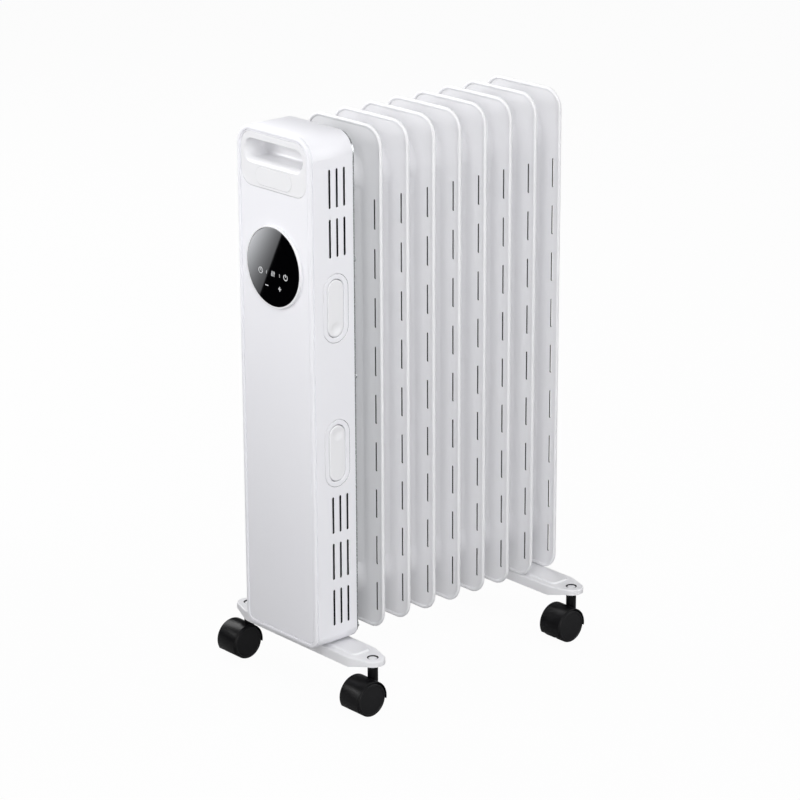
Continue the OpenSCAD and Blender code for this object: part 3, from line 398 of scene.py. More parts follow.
def frame_loop(key, inset):
    """Outline of a cord hook's frame, in the plane of the side wall."""
    middle = (frame_box[key][0] + frame_box[key][1]) / 2
    return bar_loop(middle[1], middle[2], frame_w, frame_l, inset)


def side_openings(side, grow):
    """The openings of one side wall, widened by the same amount. Only the right one holds hooks."""
    vents = [bar_loop(y, z, vent_w, vent_l, -grow, 10) for y, z in vent_places]
    return vents + [frame_loop(key, -slit_mm - grow) for key in hook_nodes if side > 0]


def side_wall(side, y0, y1, z0, z1, mouth):
    """Outer and inner face of a flat side with the rounded mouths of its openings, and apart from them
    the openings' own walls."""
    x_out, x_in = side * shell_hi[0], side * (shell_hi[0] - wall_mm)
    outline = np.array([(y0, z0), (y1, z0), (y1, z1), (y0, z1)])
    grown, sunk = quarter_round(mouth)
    rings = [side_openings(side, grow) for grow in grown]
    faces = [plate(outline, rings[0], x_out, "x"), plate(outline, rings[-1], x_in, "x")]
    mouths = [skin(stack, x_out - side * sunk, "x") for stack in zip(*rings)]
    walls = [skin([hole, hole], [x_out - side * mouth, x_in], "x") for hole in rings[-1]]
    return faces + mouths, walls


print("vents on each side:", len(vent_places), "hooks:", len(hook_nodes))

# %% Shell
# Depth behind the seam and inset of each loop: round front rim, flat side, round rear rim.
shell_depths = np.array([0.0, 0.0, 0.12, 0.4, 55.2, 55.77, 56.0, 56.0])
shell_insets = np.array([wall_mm, 0.4, 0.12, 0.0, 0.0, 0.23, 0.8, wall_mm])
flat_start, flat_end = seam_y + shell_depths[3:5]
outer_rows = [place(house_loop(s), seam_y + d) for s, d in zip(shell_insets, shell_depths)]
flat_rows = [place(house_loop(0), y) for y in (flat_start, flat_end)]
inner_rows = [place(house_loop(wall_mm), y) for y in (flat_start, flat_end)]
rims = [outer_rows[:4], outer_rows[4:], [outer_rows[0], inner_rows[0]], [inner_rows[1], outer_rows[-1]]]
shell_parts = [patch(np.array(rim), close_v=True) for rim in rims]
wall_parts = []
gland_hole = circle_loop(-30, seam_y + 13, 5.5, 40)
screw_holes = [circle_loop(side * 35, seam_y + 37.5, 2.7, 24) for side in (-1, 1)]
floor_holes = [gland_hole, *screw_holes]
left_low, right_low = 2 * corner_n, 3 * corner_n  # where the two lower corners start in a loop
floor_z = [shell_lo[2], shell_lo[2] + wall_mm]
for rows, z in zip((flat_rows, inner_rows), floor_z):
    stack = np.array(rows)
    shell_parts += [patch(part) for part in np.split(stack, [left_low, right_low], axis=1)]
    (x0, x1), (y0, y1) = stack[0, [right_low - 1, right_low], 0], stack[:, 0, 1]
    shell_parts.append(plate(np.array([(x0, y0), (x1, y0), (x1, y1), (x0, y1)]), floor_holes, z, "z"))
shell_parts += [skin([hole, hole], floor_z, "z") for hole in floor_holes]
for side in (-1, 1):
    faces, walls = side_wall(side, flat_start, flat_end, shell_lo[2] + low_corner_r,
                             shell_hi[2] - top_corner_r, 0.45)
    shell_parts += faces
    wall_parts += walls
# The walls inside the openings carry the painted shade.
piece("housing_shell", shell_parts, grained_abs, "heater", ["rear_housing"],
      second=opening_shade_paint, second_patches=wall_parts)

# %% [markdown]
# ## Hand panel and plaque
#
# A smoother panel is set into the top of the cover. Its long pocket takes the fingers of the hand that
# pulls the heater along, so its lower lip is rolled generously while its upper one stays crisp. Below
# the pocket sits a small bare plaque with round ends, a separate moulding that stands just proud.

# %% Hand panel
panel_mm, pocket_wall = 2.0, 1.8
pocket_w, pocket_h, pocket_depth, pocket_round = 95.0, 21.0, 25.0, 3.0
pocket_z = panel_hi[2] - 8.5 - pocket_h / 2
plaque_w, plaque_h = (plaque_hi - plaque_lo)[[0, 2]]
plaque_z = (plaque_lo[2] + plaque_hi[2]) / 2


def pocket_loop(inset):
    """Outline of the pocket, a lying bar with round ends."""
    return bar_loop(0, pocket_z, pocket_w, pocket_h, inset, 40)


def plaque_loop(inset):
    """Outline of the plaque, another lying bar."""
    return bar_loop(0, plaque_z, plaque_w, plaque_h, inset, 24)


def pocket_ring(turn):
    """Ring of the pocket's lip after a turn from 0 (flat on the face) to 90 degrees (into the wall).
    The lip's reach is 1.2 mm above and 5.6 mm below. In between it grows with the square of
    (1 - cos a) / 2, for the angle a from straight up, and the lip is 1.25 times as deep as it reaches."""
    outward = pocket_loop(-1.0) - pocket_loop(0)
    reach = 1.2 + 4.4 * ((1 - outward[:, 1]) / 2) ** 2
    t = np.radians(turn)
    ring = pocket_loop(0) + outward * (reach * (1 - np.sin(t)))[:, None]
    return place(ring, face_y + reach * (1 - np.cos(t)) * 1.25)


floor_in, floor_rise = (steps[::-1] for steps in quarter_round(pocket_round, 6))
pocket_rows = [pocket_ring(turn) for turn in np.linspace(0, 90, 10)]
pocket_rows += [place(pocket_loop(s), face_y + pocket_depth - d) for s, d in zip(floor_in, floor_rise)]
edge_in, edge_down = quarter_round(0.4)
back, behind = face_y + panel_mm, face_y + pocket_depth + pocket_wall
recess, recess_floor = plaque_loop(-0.2), face_y + 1.0
piece("hand_panel", [
    plate(panel_loop(0.4), [pocket_rows[0][:, [0, 2]], recess], face_y),
    skin([*map(panel_loop, edge_in), panel_loop(0)], [*(face_y + edge_down), back]),
    patch(np.array(pocket_rows), close_v=True),
    plate(pocket_loop(pocket_round), [], face_y + pocket_depth),
    skin([recess, recess], [face_y, recess_floor]),
    plate(recess, [], recess_floor),
    plate(panel_loop(0), [pocket_loop(-pocket_wall)], back),
    skin([pocket_loop(-pocket_wall)] * 2, [back, behind]),
    plate(pocket_loop(-pocket_wall), [], behind),
], polished_abs, "heater", ["grip_panel"])

# %% Plaque
plaque_in, plaque_down = quarter_round(0.35)
plaque_front, plaque_back = plaque_lo[1], plaque_hi[1]
piece("plaque", [
    plate(plaque_loop(plaque_in[0]), [], plaque_front),
    skin([*map(plaque_loop, plaque_in), plaque_loop(0)], [*(plaque_front + plaque_down), plaque_back]),
    plate(plaque_loop(0), [], plaque_back),
], polished_abs, "heater", ["name_plaque"])

# %% [markdown]
# ## Display
#
# The round control sits proud of the cover: a white ring holds a disc of black glass, and the touch
# keys are printed behind it. Both are turned bodies, so each is one profile of radii and depths
# carried round a circle.

# %% Display ring and glass
glass_lo, glass_hi = box_mm("display_glass")
ring_front, ring_back, ledge = bezel_lo[1], bezel_hi[1], glass_hi[1]
hole_r = (glass_hi[0] - glass_lo[0]) / 2 + 0.1
skirt_r, ledge_r = hole_r - 0.2, hole_r - 2.2
ring_in, ring_down = quarter_round(0.9)
ring_profile = [(ledge_r, ledge), (hole_r, ledge), (hole_r, ring_front + 0.3), (hole_r + 0.3, ring_front)]
ring_profile += [*zip(display_r - ring_in, ring_front + ring_down), (display_r, face_y)]
ring_profile += [(skirt_r, face_y), (skirt_r, ring_back), (ledge_r, ring_back), (ledge_r, ledge)]
piece("display_ring", [turned(ring_profile, display_x, display_z)], polished_abs, "heater",
      ["display_bezel"])
glass_r, glass_front = hole_r - 0.1, ring_front + 0.06
glass_profile = [(0, glass_front), (glass_r - 0.5, glass_front), (glass_r - 0.15, glass_front + 0.1),
                 (glass_r, glass_front + 0.4), (glass_r, ledge), (0, ledge)]
piece("glass_disc", [turned(glass_profile, display_x, display_z)], enamelled_glass, "heater",
      ["display_glass"])

# %% [markdown]
# ## Touch keys
#
# The keys are printed in pale ceramic ink: a timer, waves for warmth, a power sign, a minus and a
# plus, with two small status marks. Every sign is a line of constant width drawn along a path, so one
# ribbon function makes them all. On the real display the ink is behind the glass. Here the glass is
# drawn as one black body, so the signs lie a few hundredths of a millimetre in front of it.

# %% Printed signs
def ribbon(path, width, closed=False):
    """Flat band of constant width along a path: each point is moved sideways by the mean normal of
    the two pieces of path that meet there."""
    path = np.asarray(path, float)
    if closed:
        before, after = np.roll(path, 1, 0), np.roll(path, -1, 0)
    else:
        before = np.vstack([2 * path[0] - path[1], path[:-1]])
        after = np.vstack([path[1:], 2 * path[-1] - path[-2]])
    run = after - before
    side = np.stack([-run[:, 1], run[:, 0]], -1)
    side /= np.linalg.norm(side, axis=1)[:, None]
    loops = [path + way * side * width / 2 + sign_centre for way in (1, -1)]
    return patch(np.array([place(loop, sign_y) for loop in loops]), close_v=closed)


sign_centre, sign_y = (display_x, display_z + 1.3), ring_front + 0.03
row_z, low_row_z = -8.6, -23.5  # heights of the two rows of signs, from their centre
wave_t = np.linspace(-1, 1, 24)
timer = [ribbon(circle_loop(-21, row_z, 3.2, 39), 0.75, True),
         ribbon([(-21, -6.6), (-21, -8.7), (-19.5, -8.7)], 0.65)]
waves = [ribbon(np.stack([2.1 * k + 0.6 * np.sin(np.pi * wave_t), row_z + 2.8 * wave_t], -1), 0.7)
         for k in (-1, 0, 1)]
power = [ribbon(arc(21, row_z, 3.1, 125, 415, 40), 0.8), ribbon([(21, -5.0), (21, -8.4)], 0.8)]
minus = [ribbon([(-13.6, low_row_z), (-8.4, low_row_z)], 0.95)]
plus = [ribbon([(8.4, low_row_z), (13.6, low_row_z)], 0.95), ribbon([(11, -26.1), (11, -20.9)], 0.95)]
marks = [ribbon([(x, -10.6), (x, -6.6)], 0.45) for x in (-11, 11)]
piece("touch_key_signs", timer + waves + power + minus + plus + marks, key_print, "heater",
      outward=False)

# %% [markdown]
# ## Cord hooks
#
# Two flush levers on the side press in at one end and swing out at the other, and the cord is wound
# between them. Each lever is a smooth lid with a thumb dimple at its pressed end. Its frame is a
# shallow tub that snaps into the wall from behind.

# %% Hook frames
hollow_w, hollow_l, flange_mm, flange_thick = 23.6, 65.6, 2.0, 1.6


def hook_frame(key):
    """Tub of one hook: back, outer wall, flange behind the shell, rounded face ring, pocket."""
    low, high = frame_box[key]
    back, front = low[0], high[0]
    inner_wall, floor_x = front - wall_mm, back + 1.5
    lip_in, lip_down = quarter_round(0.6)
    mouth_in, mouth_down = quarter_round(0.9)
    cy, cz = (low[1] + high[1]) / 2, (low[2] + high[2]) / 2

    def hollow(inset):
        return bar_loop(cy, cz, hollow_w, hollow_l, inset)

    flange_back = inner_wall - flange_thick
    outside = [(0.0, back), (0.0, flange_back), (-flange_mm, flange_back), (-flange_mm, inner_wall)]
    outside += [(0.0, inner_wall), *zip(lip_in[::-1], front - lip_down[::-1])]
    inside = [*zip(-mouth_in, front - mouth_down), (0.0, back + 3.0), (0.5, back + 1.9), (1.5, floor_x)]
    return [
        skin([frame_loop(key, s) for s, _ in outside], [x for _, x in outside], "x"),
        plate(frame_loop(key, 0.0), [], back, "x"),
        plate(frame_loop(key, lip_in[0]), [hollow(-mouth_in[0])], front, "x"),
        skin([hollow(s) for s, _ in inside], [x for _, x in inside], "x"),
        plate(hollow(1.5), [], floor_x, "x"),
    ]


for key in hook_nodes:
    piece(f"{key}_hook_frame", hook_frame(key), grained_abs, "heater", [f"hook_bezel_{key}"])

# %% Hook levers
lid_mm, lid_edge = 3.0, 1.1
dimple_r, dimple_mm, dimple_soft = 21.0, 1.1, 0.12


def closed_bar(loop, start, end, axis="y"):
    """A straight bar of the given section, closed at both ends."""
    return [skin([loop, loop], [start, end], axis), plate(loop, [], start, axis), plate(loop, [], end, axis)]


def hook_lever(key, way):
    """Lid, dimple, barrel and two ribs of one lever; way is 1 where its long arm points up."""
    low, high = box_mm(hook_nodes[key])
    front = high[0]
    cy, cz = (low[1] + high[1]) / 2, (low[2] + high[2]) / 2
    width, height = high[1] - low[1], high[2] - low[2]
    dimple = np.array([cy, cz - way * (height / 2 - 10.0)])

    def lid_ring(inset, depth):
        """A ring of the lid. It is sunk where the dimple's sphere cuts into it, and the dimple's edge is
        softened: with s the sphere's depth there, the ring sinks by c ln(1 + e^(s/c))."""
        loop = bar_loop(cy, cz, width, height, inset, 30, 24)
        away = np.linalg.norm(loop - dimple, axis=1)
        sphere = np.sqrt(np.maximum(dimple_r ** 2 - away ** 2, 0)) - (dimple_r - dimple_mm)
        sink = dimple_soft * np.logaddexp(0, sphere / dimple_soft)
        return place(loop, front - depth - sink * (inset > 0.2), "x")

    edge_in, edge_down = quarter_round(lid_edge, 6)
    rim = bar_loop(cy, cz, width, height, 0, 30, 24)
    rings = [place(rim, front - lid_mm, "x")]
    rings += [lid_ring(inset, depth) for inset, depth in zip(edge_in[::-1], edge_down[::-1])]
    rings += [lid_ring(inset, 0.0) for inset in np.linspace(lid_edge, width / 2, 18)[1:]]
    parts = [patch(np.array(rings), close_v=True), plate(rim, [], front - lid_mm, "x")]
    pin_x, pin_z = front - 3.5, cz - way * (height / 2 - 16.0)
    parts += closed_bar(circle_loop(pin_x, pin_z, 3.0, 32), cy - width / 2 + 2, cy + width / 2 - 2)
    rib_ends = sorted((pin_z, cz + way * (height / 2 - 8.0)))
    rib = round_rect(front - lid_mm - 3.0, front - lid_mm + 0.2, *rib_ends, 0.6, 0.6, 0, 4)
    for rib_y in (cy - width / 5, cy + width / 5):
        parts += closed_bar(rib, rib_y - 1, rib_y + 1)
    return parts


for key, way in (("upper", 1), ("lower", -1)):
    piece(f"{key}_hook_lever", hook_lever(key, way), polished_abs, f"{key}_hook", [hook_nodes[key]])

# %% [markdown]
# ## Fins
#
# Each fin is two sheets of steel pressed and seam welded face to face. The oil runs in two flat
# channels between them and through round necks that join fin to fin. The edge is rolled into a bead,
# and a column of slots near each edge keeps the heat away from it. The swollen middle is a height
# field: a grid whose thickness rises over the channels. The flat part round it is one filled face, in
# which the slots are real openings. The bead and the flared necks are profiles carried round a loop.

# %% Outline and thickness of a fin
rim_r, sheet_half = 2.2, 0.8
fin_w, fin_z0, fin_z1 = fin_hi[0] - fin_lo[0], fin_lo[2], fin_hi[2]
header_z = [fin_z0 + 59.0, fin_z1 - 60.0]
neck_r, bore_r, flare_r, neck_l, last_neck_l = 22.0, 20.2, 12.0, fin_pitch / 2, 13.6
slot_w, slot_l, slot_pitch, slot_x, slot_round = 1.8, 33.4, 55.6, fin_w / 2 - 11.0, 0.3
slot_z = fin_z0 + 22.5 + slot_l / 2 + slot_pitch * np.arange(9)
channel_x, channel_half_w, channel_half_t = 17.0, 13.0, 5.0


def fin_loop(inset):
    """Outline of a fin: 24 mm corners at the top, 22 mm at the bottom."""
    return round_rect(-fin_w / 2, fin_w / 2, fin_z0, fin_z1, 24.0, 22.0, inset, 12)


def slot_loops(grow):
    """Outlines of a fin's slots, widened by the same amount."""
    return [bar_loop(side * slot_x, z, slot_w, slot_l, -grow, 8) for side in (-1, 1) for z in slot_z]


def swell(x, z):
    """Half thickness of a fin where the oil runs. Across a channel it follows a squared cosine, 26 mm
    wide, up to 10 mm in all, and it fades with a sine over the 13 mm beyond each header."""
    fade = np.clip(np.minimum(z - header_z[0], header_z[1] - z) / channel_half_w + 1, 0, 1)
    across = np.minimum(np.abs(np.abs(x) - channel_x) / channel_half_w, 1)
    rise = np.sin(fade * np.pi / 2) * np.cos(across * np.pi / 2) ** 2
    return sheet_half + (channel_half_t - sheet_half) * rise


print("fin", round(fin_w, 1), "mm wide,", len(slot_loops(0)), "slots")


# %% Pressed sheets, slots and necks
def fin_sheet(y, side):
    """One face of a fin: the flat part with its slots, and the swollen part with the two channels."""
    reach = channel_x + channel_half_w
    inner = channel_x - channel_half_w
    xs = np.unique(np.concatenate([np.linspace(-reach, -inner, 15), np.linspace(inner, reach, 15)]))
    ends = np.linspace(0, channel_half_w, 9)
    zs = np.unique(np.concatenate([header_z[0] - ends, np.linspace(*header_z, 9), header_z[1] + ends]))
    x, z = np.meshgrid(xs, zs, indexing="ij")
    field = np.stack([x, y + side * swell(x, z), z], -1)
    border = np.concatenate([field[:-1, 0], field[-1, :-1], field[:0:-1, -1], field[0, :0:-1]])[:, [0, 2]]
    flat = plate(fin_loop(rim_r), [border, *slot_loops(slot_round)], y + side * sheet_half, flip=side > 0)
    return [flat, patch(field, flip=side < 0)]


def slot_walls(y):
    """The cut edges of a fin's slots, with a small burr-free round at both mouths."""
    depths = y + np.array([-sheet_half, slot_round - sheet_half, sheet_half - slot_round, sheet_half])
    return [skin(rings, depths) for rings in zip(*map(slot_loops, (slot_round, 0, 0, slot_round)))]


def fin_patches(y, rear_l):
    """A fin about its own plane, without its slots' walls: both faces, the rolled rim and the necks."""
    turn = np.radians(np.arange(0, 360, 22.5))
    rim = [place(fin_loop(rim_r * (1 - np.cos(t))), y + rim_r * np.sin(t)) for t in turn]
    out, down = (steps[::-1] for steps in quarter_round(flare_r, 8))
    front_side = [(bore_r, -neck_l), (neck_r, -neck_l), *zip(neck_r + out, -sheet_half - down)]
    rear_side = [*zip(neck_r + out[::-1], sheet_half + down[::-1]), (neck_r, rear_l), (bore_r, rear_l)]
    neck_profile = front_side + rear_side + [(bore_r, -neck_l)]
    necks = [turned(neck_profile, 0, z, 56, base=y) for z in header_z]
    return fin_sheet(y, -1) + fin_sheet(y, 1) + [patch(np.array(rim), close_u=True, close_v=True)] + necks


# The slots' walls carry the painted shade, so the slots read dark.
for number, y in enumerate(fin_planes, 1):
    rear_l = last_neck_l if number == len(fin_planes) else neck_l
    piece(f"pressed_fin_{number}", fin_patches(y, rear_l), powder_white, "heater", [f"fin_{number}"],
          sharp=50, outward=False, second=opening_shade_paint, second_patches=slot_walls(y))

# %% [markdown]
# ## Foot bars
#
# The heater stands on two pressed steel bars. Their outline is straight in the middle and tapers to
# round ends, their edge is folded down into a skirt that gets lower outwards, and a long pad is
# embossed on top to stiffen them. The front bar has two drawn seats for the housing, the rear one two
# holes for the U-bolt. One outline function with an inset serves the skirt, the folded edge and the
# hollow underneath.

# %% Outline of a foot bar
bar_lo, bar_hi = box_mm("front_foot_bar")
rear_bar_lo, rear_bar_hi = box_mm("rear_foot_bar")
castor_x, end_r, taper_x, taper_soft = 108.5, 14.0, 90.0, 5.0
bar_half_w = (bar_hi[1] - bar_lo[1]) / 2
bar_top, sheet_mm, edge_r, pad_rise = 62.0, 1.6, 1.5, 1.5
bar_under, pad_top = bar_top - sheet_mm, bar_top + pad_rise
pad_under = pad_top - sheet_mm


def bar_outline(cy, inset, n=17, m=7):
    """Outline of a foot bar at an inset. Each end is an arc whose tangent points follow from the angle
    between the corner's direction, seen from the arc's centre, and acos(radius / distance); each
    tapered corner is softened by a quadratic curve over 5 mm to either side."""
    half, r = bar_half_w - inset, end_r - inset
    distance = math.hypot(castor_x - taper_x, half)
    turn = math.degrees(math.atan2(half, taper_x - castor_x) - math.acos(r / distance))
    tip = arc(castor_x, 0, r, -turn, turn, n)
    corner = np.array([taper_x, half])
    away = (tip[-1] - corner) / np.linalg.norm(tip[-1] - corner) * taper_soft
    t = np.linspace(0, 1, m)[:, None]
    bend = (1 - t) ** 2 * (corner + away) + 2 * t * (1 - t) * corner + t ** 2 * (corner - (taper_soft, 0))
    upper_right = np.vstack([tip[n // 2:], bend])
    upper = np.vstack([upper_right, upper_right[::-1] * (-1, 1)])
    return np.vstack([upper, upper[1:-1][::-1] * (1, -1)]) + (0, cy)


def pad_outline(cy, inset):
    """The embossed pad: 24 mm wide, up to 17 mm from the castor holes, with 6 mm corners."""
    pad_x, pad_half_w = castor_x - 17.0, 12.0
    return round_rect(-pad_x, pad_x, cy - pad_half_w, cy + pad_half_w, 6.0, 6.0, inset, 9)


def skirt_foot(loop):
    """Height of the skirt's lower edge, which climbs 5 mm from the taper's start to the castor."""
    return 50.5 + 5.0 * np.clip((np.abs(loop[:, 0]) - taper_x) / (castor_x - taper_x), 0, 1)


print("foot bars", round(2 * (castor_x + end_r), 1), "x", round(2 * bar_half_w, 1), "mm")

# %% Pressing and holes of a foot bar
stem_hole_r, mouth_mm, mouth_drop = 5.6, 0.9, 0.6
slope_in, slope_out = 1.2, 1.4  # the pad's slope, to either side of its outline


def seat(r, seat_r, seat_z):
    """Profile of a drawn seat: up from the pad round its rim, over its top and down its screw hole."""
    return [(seat_r + 0.9, pad_top), (seat_r + 0.3, pad_top + 0.25), (seat_r, pad_top + 0.8),
            (seat_r, seat_z - 0.5), (seat_r - 0.15, seat_z - 0.15), (seat_r - 0.5, seat_z), (r, seat_z),
            (r, pad_under)]


def foot_bar(cy, hole_profiles):
    """Skirt, folded edge, top face, pad and hollow of one bar, with the seats or holes in its pad, and
    apart from them the edges of the two castor holes, painted dark as the shade in the gap round each rivet."""
    rim, inner_rim = bar_outline(cy, 0), bar_outline(cy, sheet_mm)
    edge_in, edge_down = (steps[::-1] for steps in quarter_round(edge_r, 6))
    outer = [place(rim, skirt_foot(rim), "z")]
    outer += [place(bar_outline(cy, s), bar_top - d, "z") for s, d in zip(edge_in, edge_down)]
    inner = [place(inner_rim, bar_under, "z"), place(inner_rim, skirt_foot(inner_rim), "z"), outer[0]]
    stems, mouths = ([circle_loop(side * castor_x, cy, r, 40) for side in (-1, 1)]
                     for r in (stem_hole_r, stem_hole_r + mouth_mm))
    slope = np.linspace(-slope_out, slope_in, 8)
    rise = pad_rise * (0.5 - 0.5 * np.cos(np.pi * (slope + slope_out) / (slope_out + slope_in)))
    under = pad_outline(cy, sheet_mm)
    top_holes = [circle_loop(x, cy, profile[0][0], 28) for x, profile in hole_profiles]
    low_holes = [circle_loop(x, cy, profile[-1][0], 28) for x, profile in hole_profiles]
    parts = [patch(np.array(outer), close_v=True), patch(np.array(inner), close_v=True),
             plate(bar_outline(cy, edge_r), [pad_outline(cy, -slope_out), *mouths], bar_top, "z"),
             skin([pad_outline(cy, s) for s in slope], bar_top + rise, "z"),
             plate(inner_rim, [under, *stems], bar_under, "z"),
             skin([under, under], [bar_under, pad_under], "z"),
             plate(pad_outline(cy, slope_in), top_holes, pad_top, "z"),
             plate(under, low_holes, pad_under, "z")]
    parts += [turned(profile, x, cy, 28, "z") for x, profile in hole_profiles]
    edges = [skin([mouth, hole, hole], [bar_top, bar_top - mouth_drop, bar_under], "z")
             for mouth, hole in zip(mouths, stems)]
    return parts, edges


# %% Foot bars
front_y, rear_y = (bar_lo[1] + bar_hi[1]) / 2, (rear_bar_lo[1] + rear_bar_hi[1]) / 2
screw_r = 2.7
bar_holes = {"front": (front_y, 35.0, seat(screw_r, 8.0, bar_hi[2])),
             "rear": (rear_y, 24.7, [(screw_r, pad_top), (screw_r, pad_under)])}
for end, (cy, hole_x, profile) in bar_holes.items():
    painted, edges = foot_bar(cy, [(side * hole_x, profile) for side in (-1, 1)])
    # The castor holes' edges carry the painted shade of the gap round each rivet.
    piece(f"{end}_bar", painted, powder_white, "heater", [f"{end}_foot_bar"],
          second=opening_shade_paint, second_patches=edges)

# %% [markdown]
# ## Castors
#
# Four hooded twin-wheel castors carry the bars. A zinc plated stem is riveted in the bar, and its
# domed head on top is painted with it. The hood turns on the stem: an arched shell over both wheels,
# a web between them and a neck that is split at its top so that it snaps on. Each wheel is moulded
# with a sunk face inside a narrow rim and is hollow behind. Hoods and wheels ride on their own
# bodies, so they swivel and roll.

# %% Stems
def stem(cx, cy):
    """Painted dome of the rivet head, and its bare rim with the washer under the bar and the stem."""
    head_r, washer_r, washer_low, shank_r, shank_low = 5.4, 6.9, 58.6, 3.5, 41.0
    angles = np.radians(np.linspace(0, 90, 10))
    dome = [*zip(head_r * np.sin(angles), 61.0 + 0.4 * np.cos(angles))]
    lower = [(head_r, bar_under), (washer_r, bar_under), (washer_r, washer_low)]
    lower += [(washer_r - 0.2, washer_low - 0.2), (shank_r, washer_low - 0.2), (shank_r, shank_low)]
    lower += [(shank_r - 0.9, shank_low - 1.0), (0, shank_low - 1.0)]
    return [turned(dome[:7], cx, cy, 40, "z")], [turned(dome[6:] + lower, cx, cy, 40, "z")]


# %% Wheels
def wheel(side, cx, cy, cz):
    """One wheel about its axle: hollow back, rounded tread, rim and sunk face. Side is 1 towards +X."""
    bend = np.radians([0, 30, 60, 90])
    inner_x, hub_r, wheel_r, back_round, front_round = 2.4, 2.55, 19.5, 1.2, 1.8
    profile = [(0, 11.0), (hub_r, 11.0), (hub_r, 0), (5.0, 0), (5.2, 9.8), (5.6, 10.2), (16.0, 10.2)]
    profile += [(16.5, 9.8), (16.5, 0), (wheel_r - back_round, 0)]
    profile += [(wheel_r - back_round + back_round * math.sin(b), back_round - back_round * math.cos(b))
                for b in bend[1:]]
    profile += [(wheel_r - front_round + front_round * math.cos(b), 11.4 + front_round * math.sin(b))
                for b in bend]
    profile += [(17.2, 13.2), (16.9, 13.1), (16.7, 12.75), (16.5, 12.5), (16.1, 12.4), (0, 12.4)]
    return [turned([(r, side * (inner_x + x)) for r, x in profile], cy, cz, 72, "x", cx)]


# %% Hoods
shell_r, shell_mm, shell_half_w = 21.7, 1.5, 15.6
arch_start, arch_end = -9.0, 209.0


def hood_section(inset):
    """Section of the arched shell as (x, radius) pairs: 1.5 mm thick, 31.2 mm wide, rounded outside. An
    inset draws it in towards its middle."""
    outside_r, inside_r = 1.1, 0.2
    out = np.radians(np.linspace(0, 90, 5))
    top = [(shell_half_w - outside_r * (1 - math.sin(b)), shell_r - outside_r * (1 - math.cos(b)))
           for b in out]
    low = [(shell_half_w - inside_r * (1 - math.cos(b)), shell_r - shell_mm + inside_r * (1 - math.sin(b)))
           for b in out[::2]]
    half = np.array(top + low)
    loop = np.vstack([half, half[::-1] * (-1, 1)])
    middle = np.array([0.0, shell_r - shell_mm / 2])
    return middle + (loop - middle) * (1 - inset / np.array([shell_half_w, shell_mm / 2]))


def hood(cx, cy, cz):
    """Arched shell from 9 degrees below level at the back, over the top, to 29 below at the front, and
    the web between the wheels, with the axle's hole."""
    sweep = np.linspace(arch_start + 0.6, arch_end - 0.6, 74)
    angles = np.radians([arch_start, arch_start, *sweep, arch_end, arch_end])
    insets = [0.3, 0.08, *np.zeros(74), 0.08, 0.3]
    rows = []
    for angle, inset in zip(angles, insets):
        x, r = hood_section(inset).T
        rows.append(np.stack([cx + x, cy + r * math.cos(angle), cz + r * math.sin(angle)], -1))
    end_faces = plate(hood_section(insets[0]), [], 0)[1]
    sector = np.vstack([arc(cy, cz, 20.9, -8.5, 208.5, 60), arc(cy, cz, 5.0, 214, 346, 24)])
    axle = circle_loop(cy, cz, 2.5, 24)
    web = [cx - 2, cx + 2]
    return [patch(np.array(rows), close_v=True), (rows[0], end_faces), (rows[-1], end_faces),
            *[plate(sector, [axle], x, "x") for x in web],
            skin([sector, sector], web, "x"), skin([axle, axle], web, "x")]


def neck(cx, cy):
    """Round neck with a bore for the stem, and the two prongs that its slot leaves at the top."""
    outer_r, bore_r, slot_half = 5.9, 3.55, 1.6
    low, slot_low, slot_seat, top = 34.0, 54.0, 53.9, 58.0

    def prong(inset, way):
        far, near, side = outer_r - inset, bore_r + inset, slot_half + inset
        a, b = math.degrees(math.asin(side / far)), math.degrees(math.asin(side / near))
        loop = np.vstack([arc(0, 0, far, a, 180 - a, 16), arc(0, 0, near, 180 - b, b, 12)])
        return loop * (1, way) + (cx, cy)

    tube = [(0, low), (outer_r, low), (outer_r, slot_low), (bore_r, slot_low), (bore_r, 39.6), (0, 39.6)]
    parts = [turned(tube, cx, cy, 40, "z")]
    steps = [(0, slot_seat), (0, top - 0.5), (0.15, top - 0.15), (0.5, top)]
    for way in (-1, 1):
        parts += [skin([prong(s, way) for s, _ in steps], [z for _, z in steps], "z"),
                  plate(prong(0.5, way), [], top, "z"), plate(prong(0, way), [], slot_seat, "z")]
    return parts


# %% Put the castors together
axle_z, trail_mm = 19.5, 14.5
for corner in ("front_left", "front_right", "rear_left", "rear_right"):
    outwards = 1 if corner.endswith("right") else -1
    x, y = outwards * castor_x, front_y if corner.startswith("front") else rear_y
    painted, bare = stem(x, y)
    piece(f"{corner}_stem", bare, zinc_plate, "heater", [f"stem_{corner}"],
          second=powder_white, second_patches=painted)
    piece(f"{corner}_hood", hood(x, y - trail_mm, axle_z) + neck(x, y), black_pp, f"{corner}_castor",
          [f"hood_{corner}"])
    for which, side in (("outer", outwards), ("inner", -outwards)):
        piece(f"{corner}_{which}_wheel_shape", wheel(side, x, y - trail_mm, axle_z), wheel_nylon,
              f"{corner}_{which}_wheel", [f"wheel_{corner}_{which}"])

# %% [markdown]
# ## Light and floor
#
# A product studio lights a white object with large soft boxes and keeps the room itself dark, so that
# every white face gets a grey of its own. The strongest boxes stand on the left and high on the front
# right; small ones on the right reach in between the fins and draw their rims. The floor shows the
# background colour to the camera and keeps only a breath of the heater's shadow.

# %% World
backdrop, room_light = linear("#fdfdfd"), linear("#f6f7fb")
room_strength = 0.03


def seen_straight(tree):
    """Is 1 for a ray that comes from the camera, also through glass, and 0 for every other ray."""
    ray = add(tree, "ShaderNodeLightPath").outputs
    return add(tree, "ShaderNodeMath", {0: ray["Is Camera Ray"], 1: ray["Is Transmission Ray"]},
               operation="MAXIMUM").outputs[0]


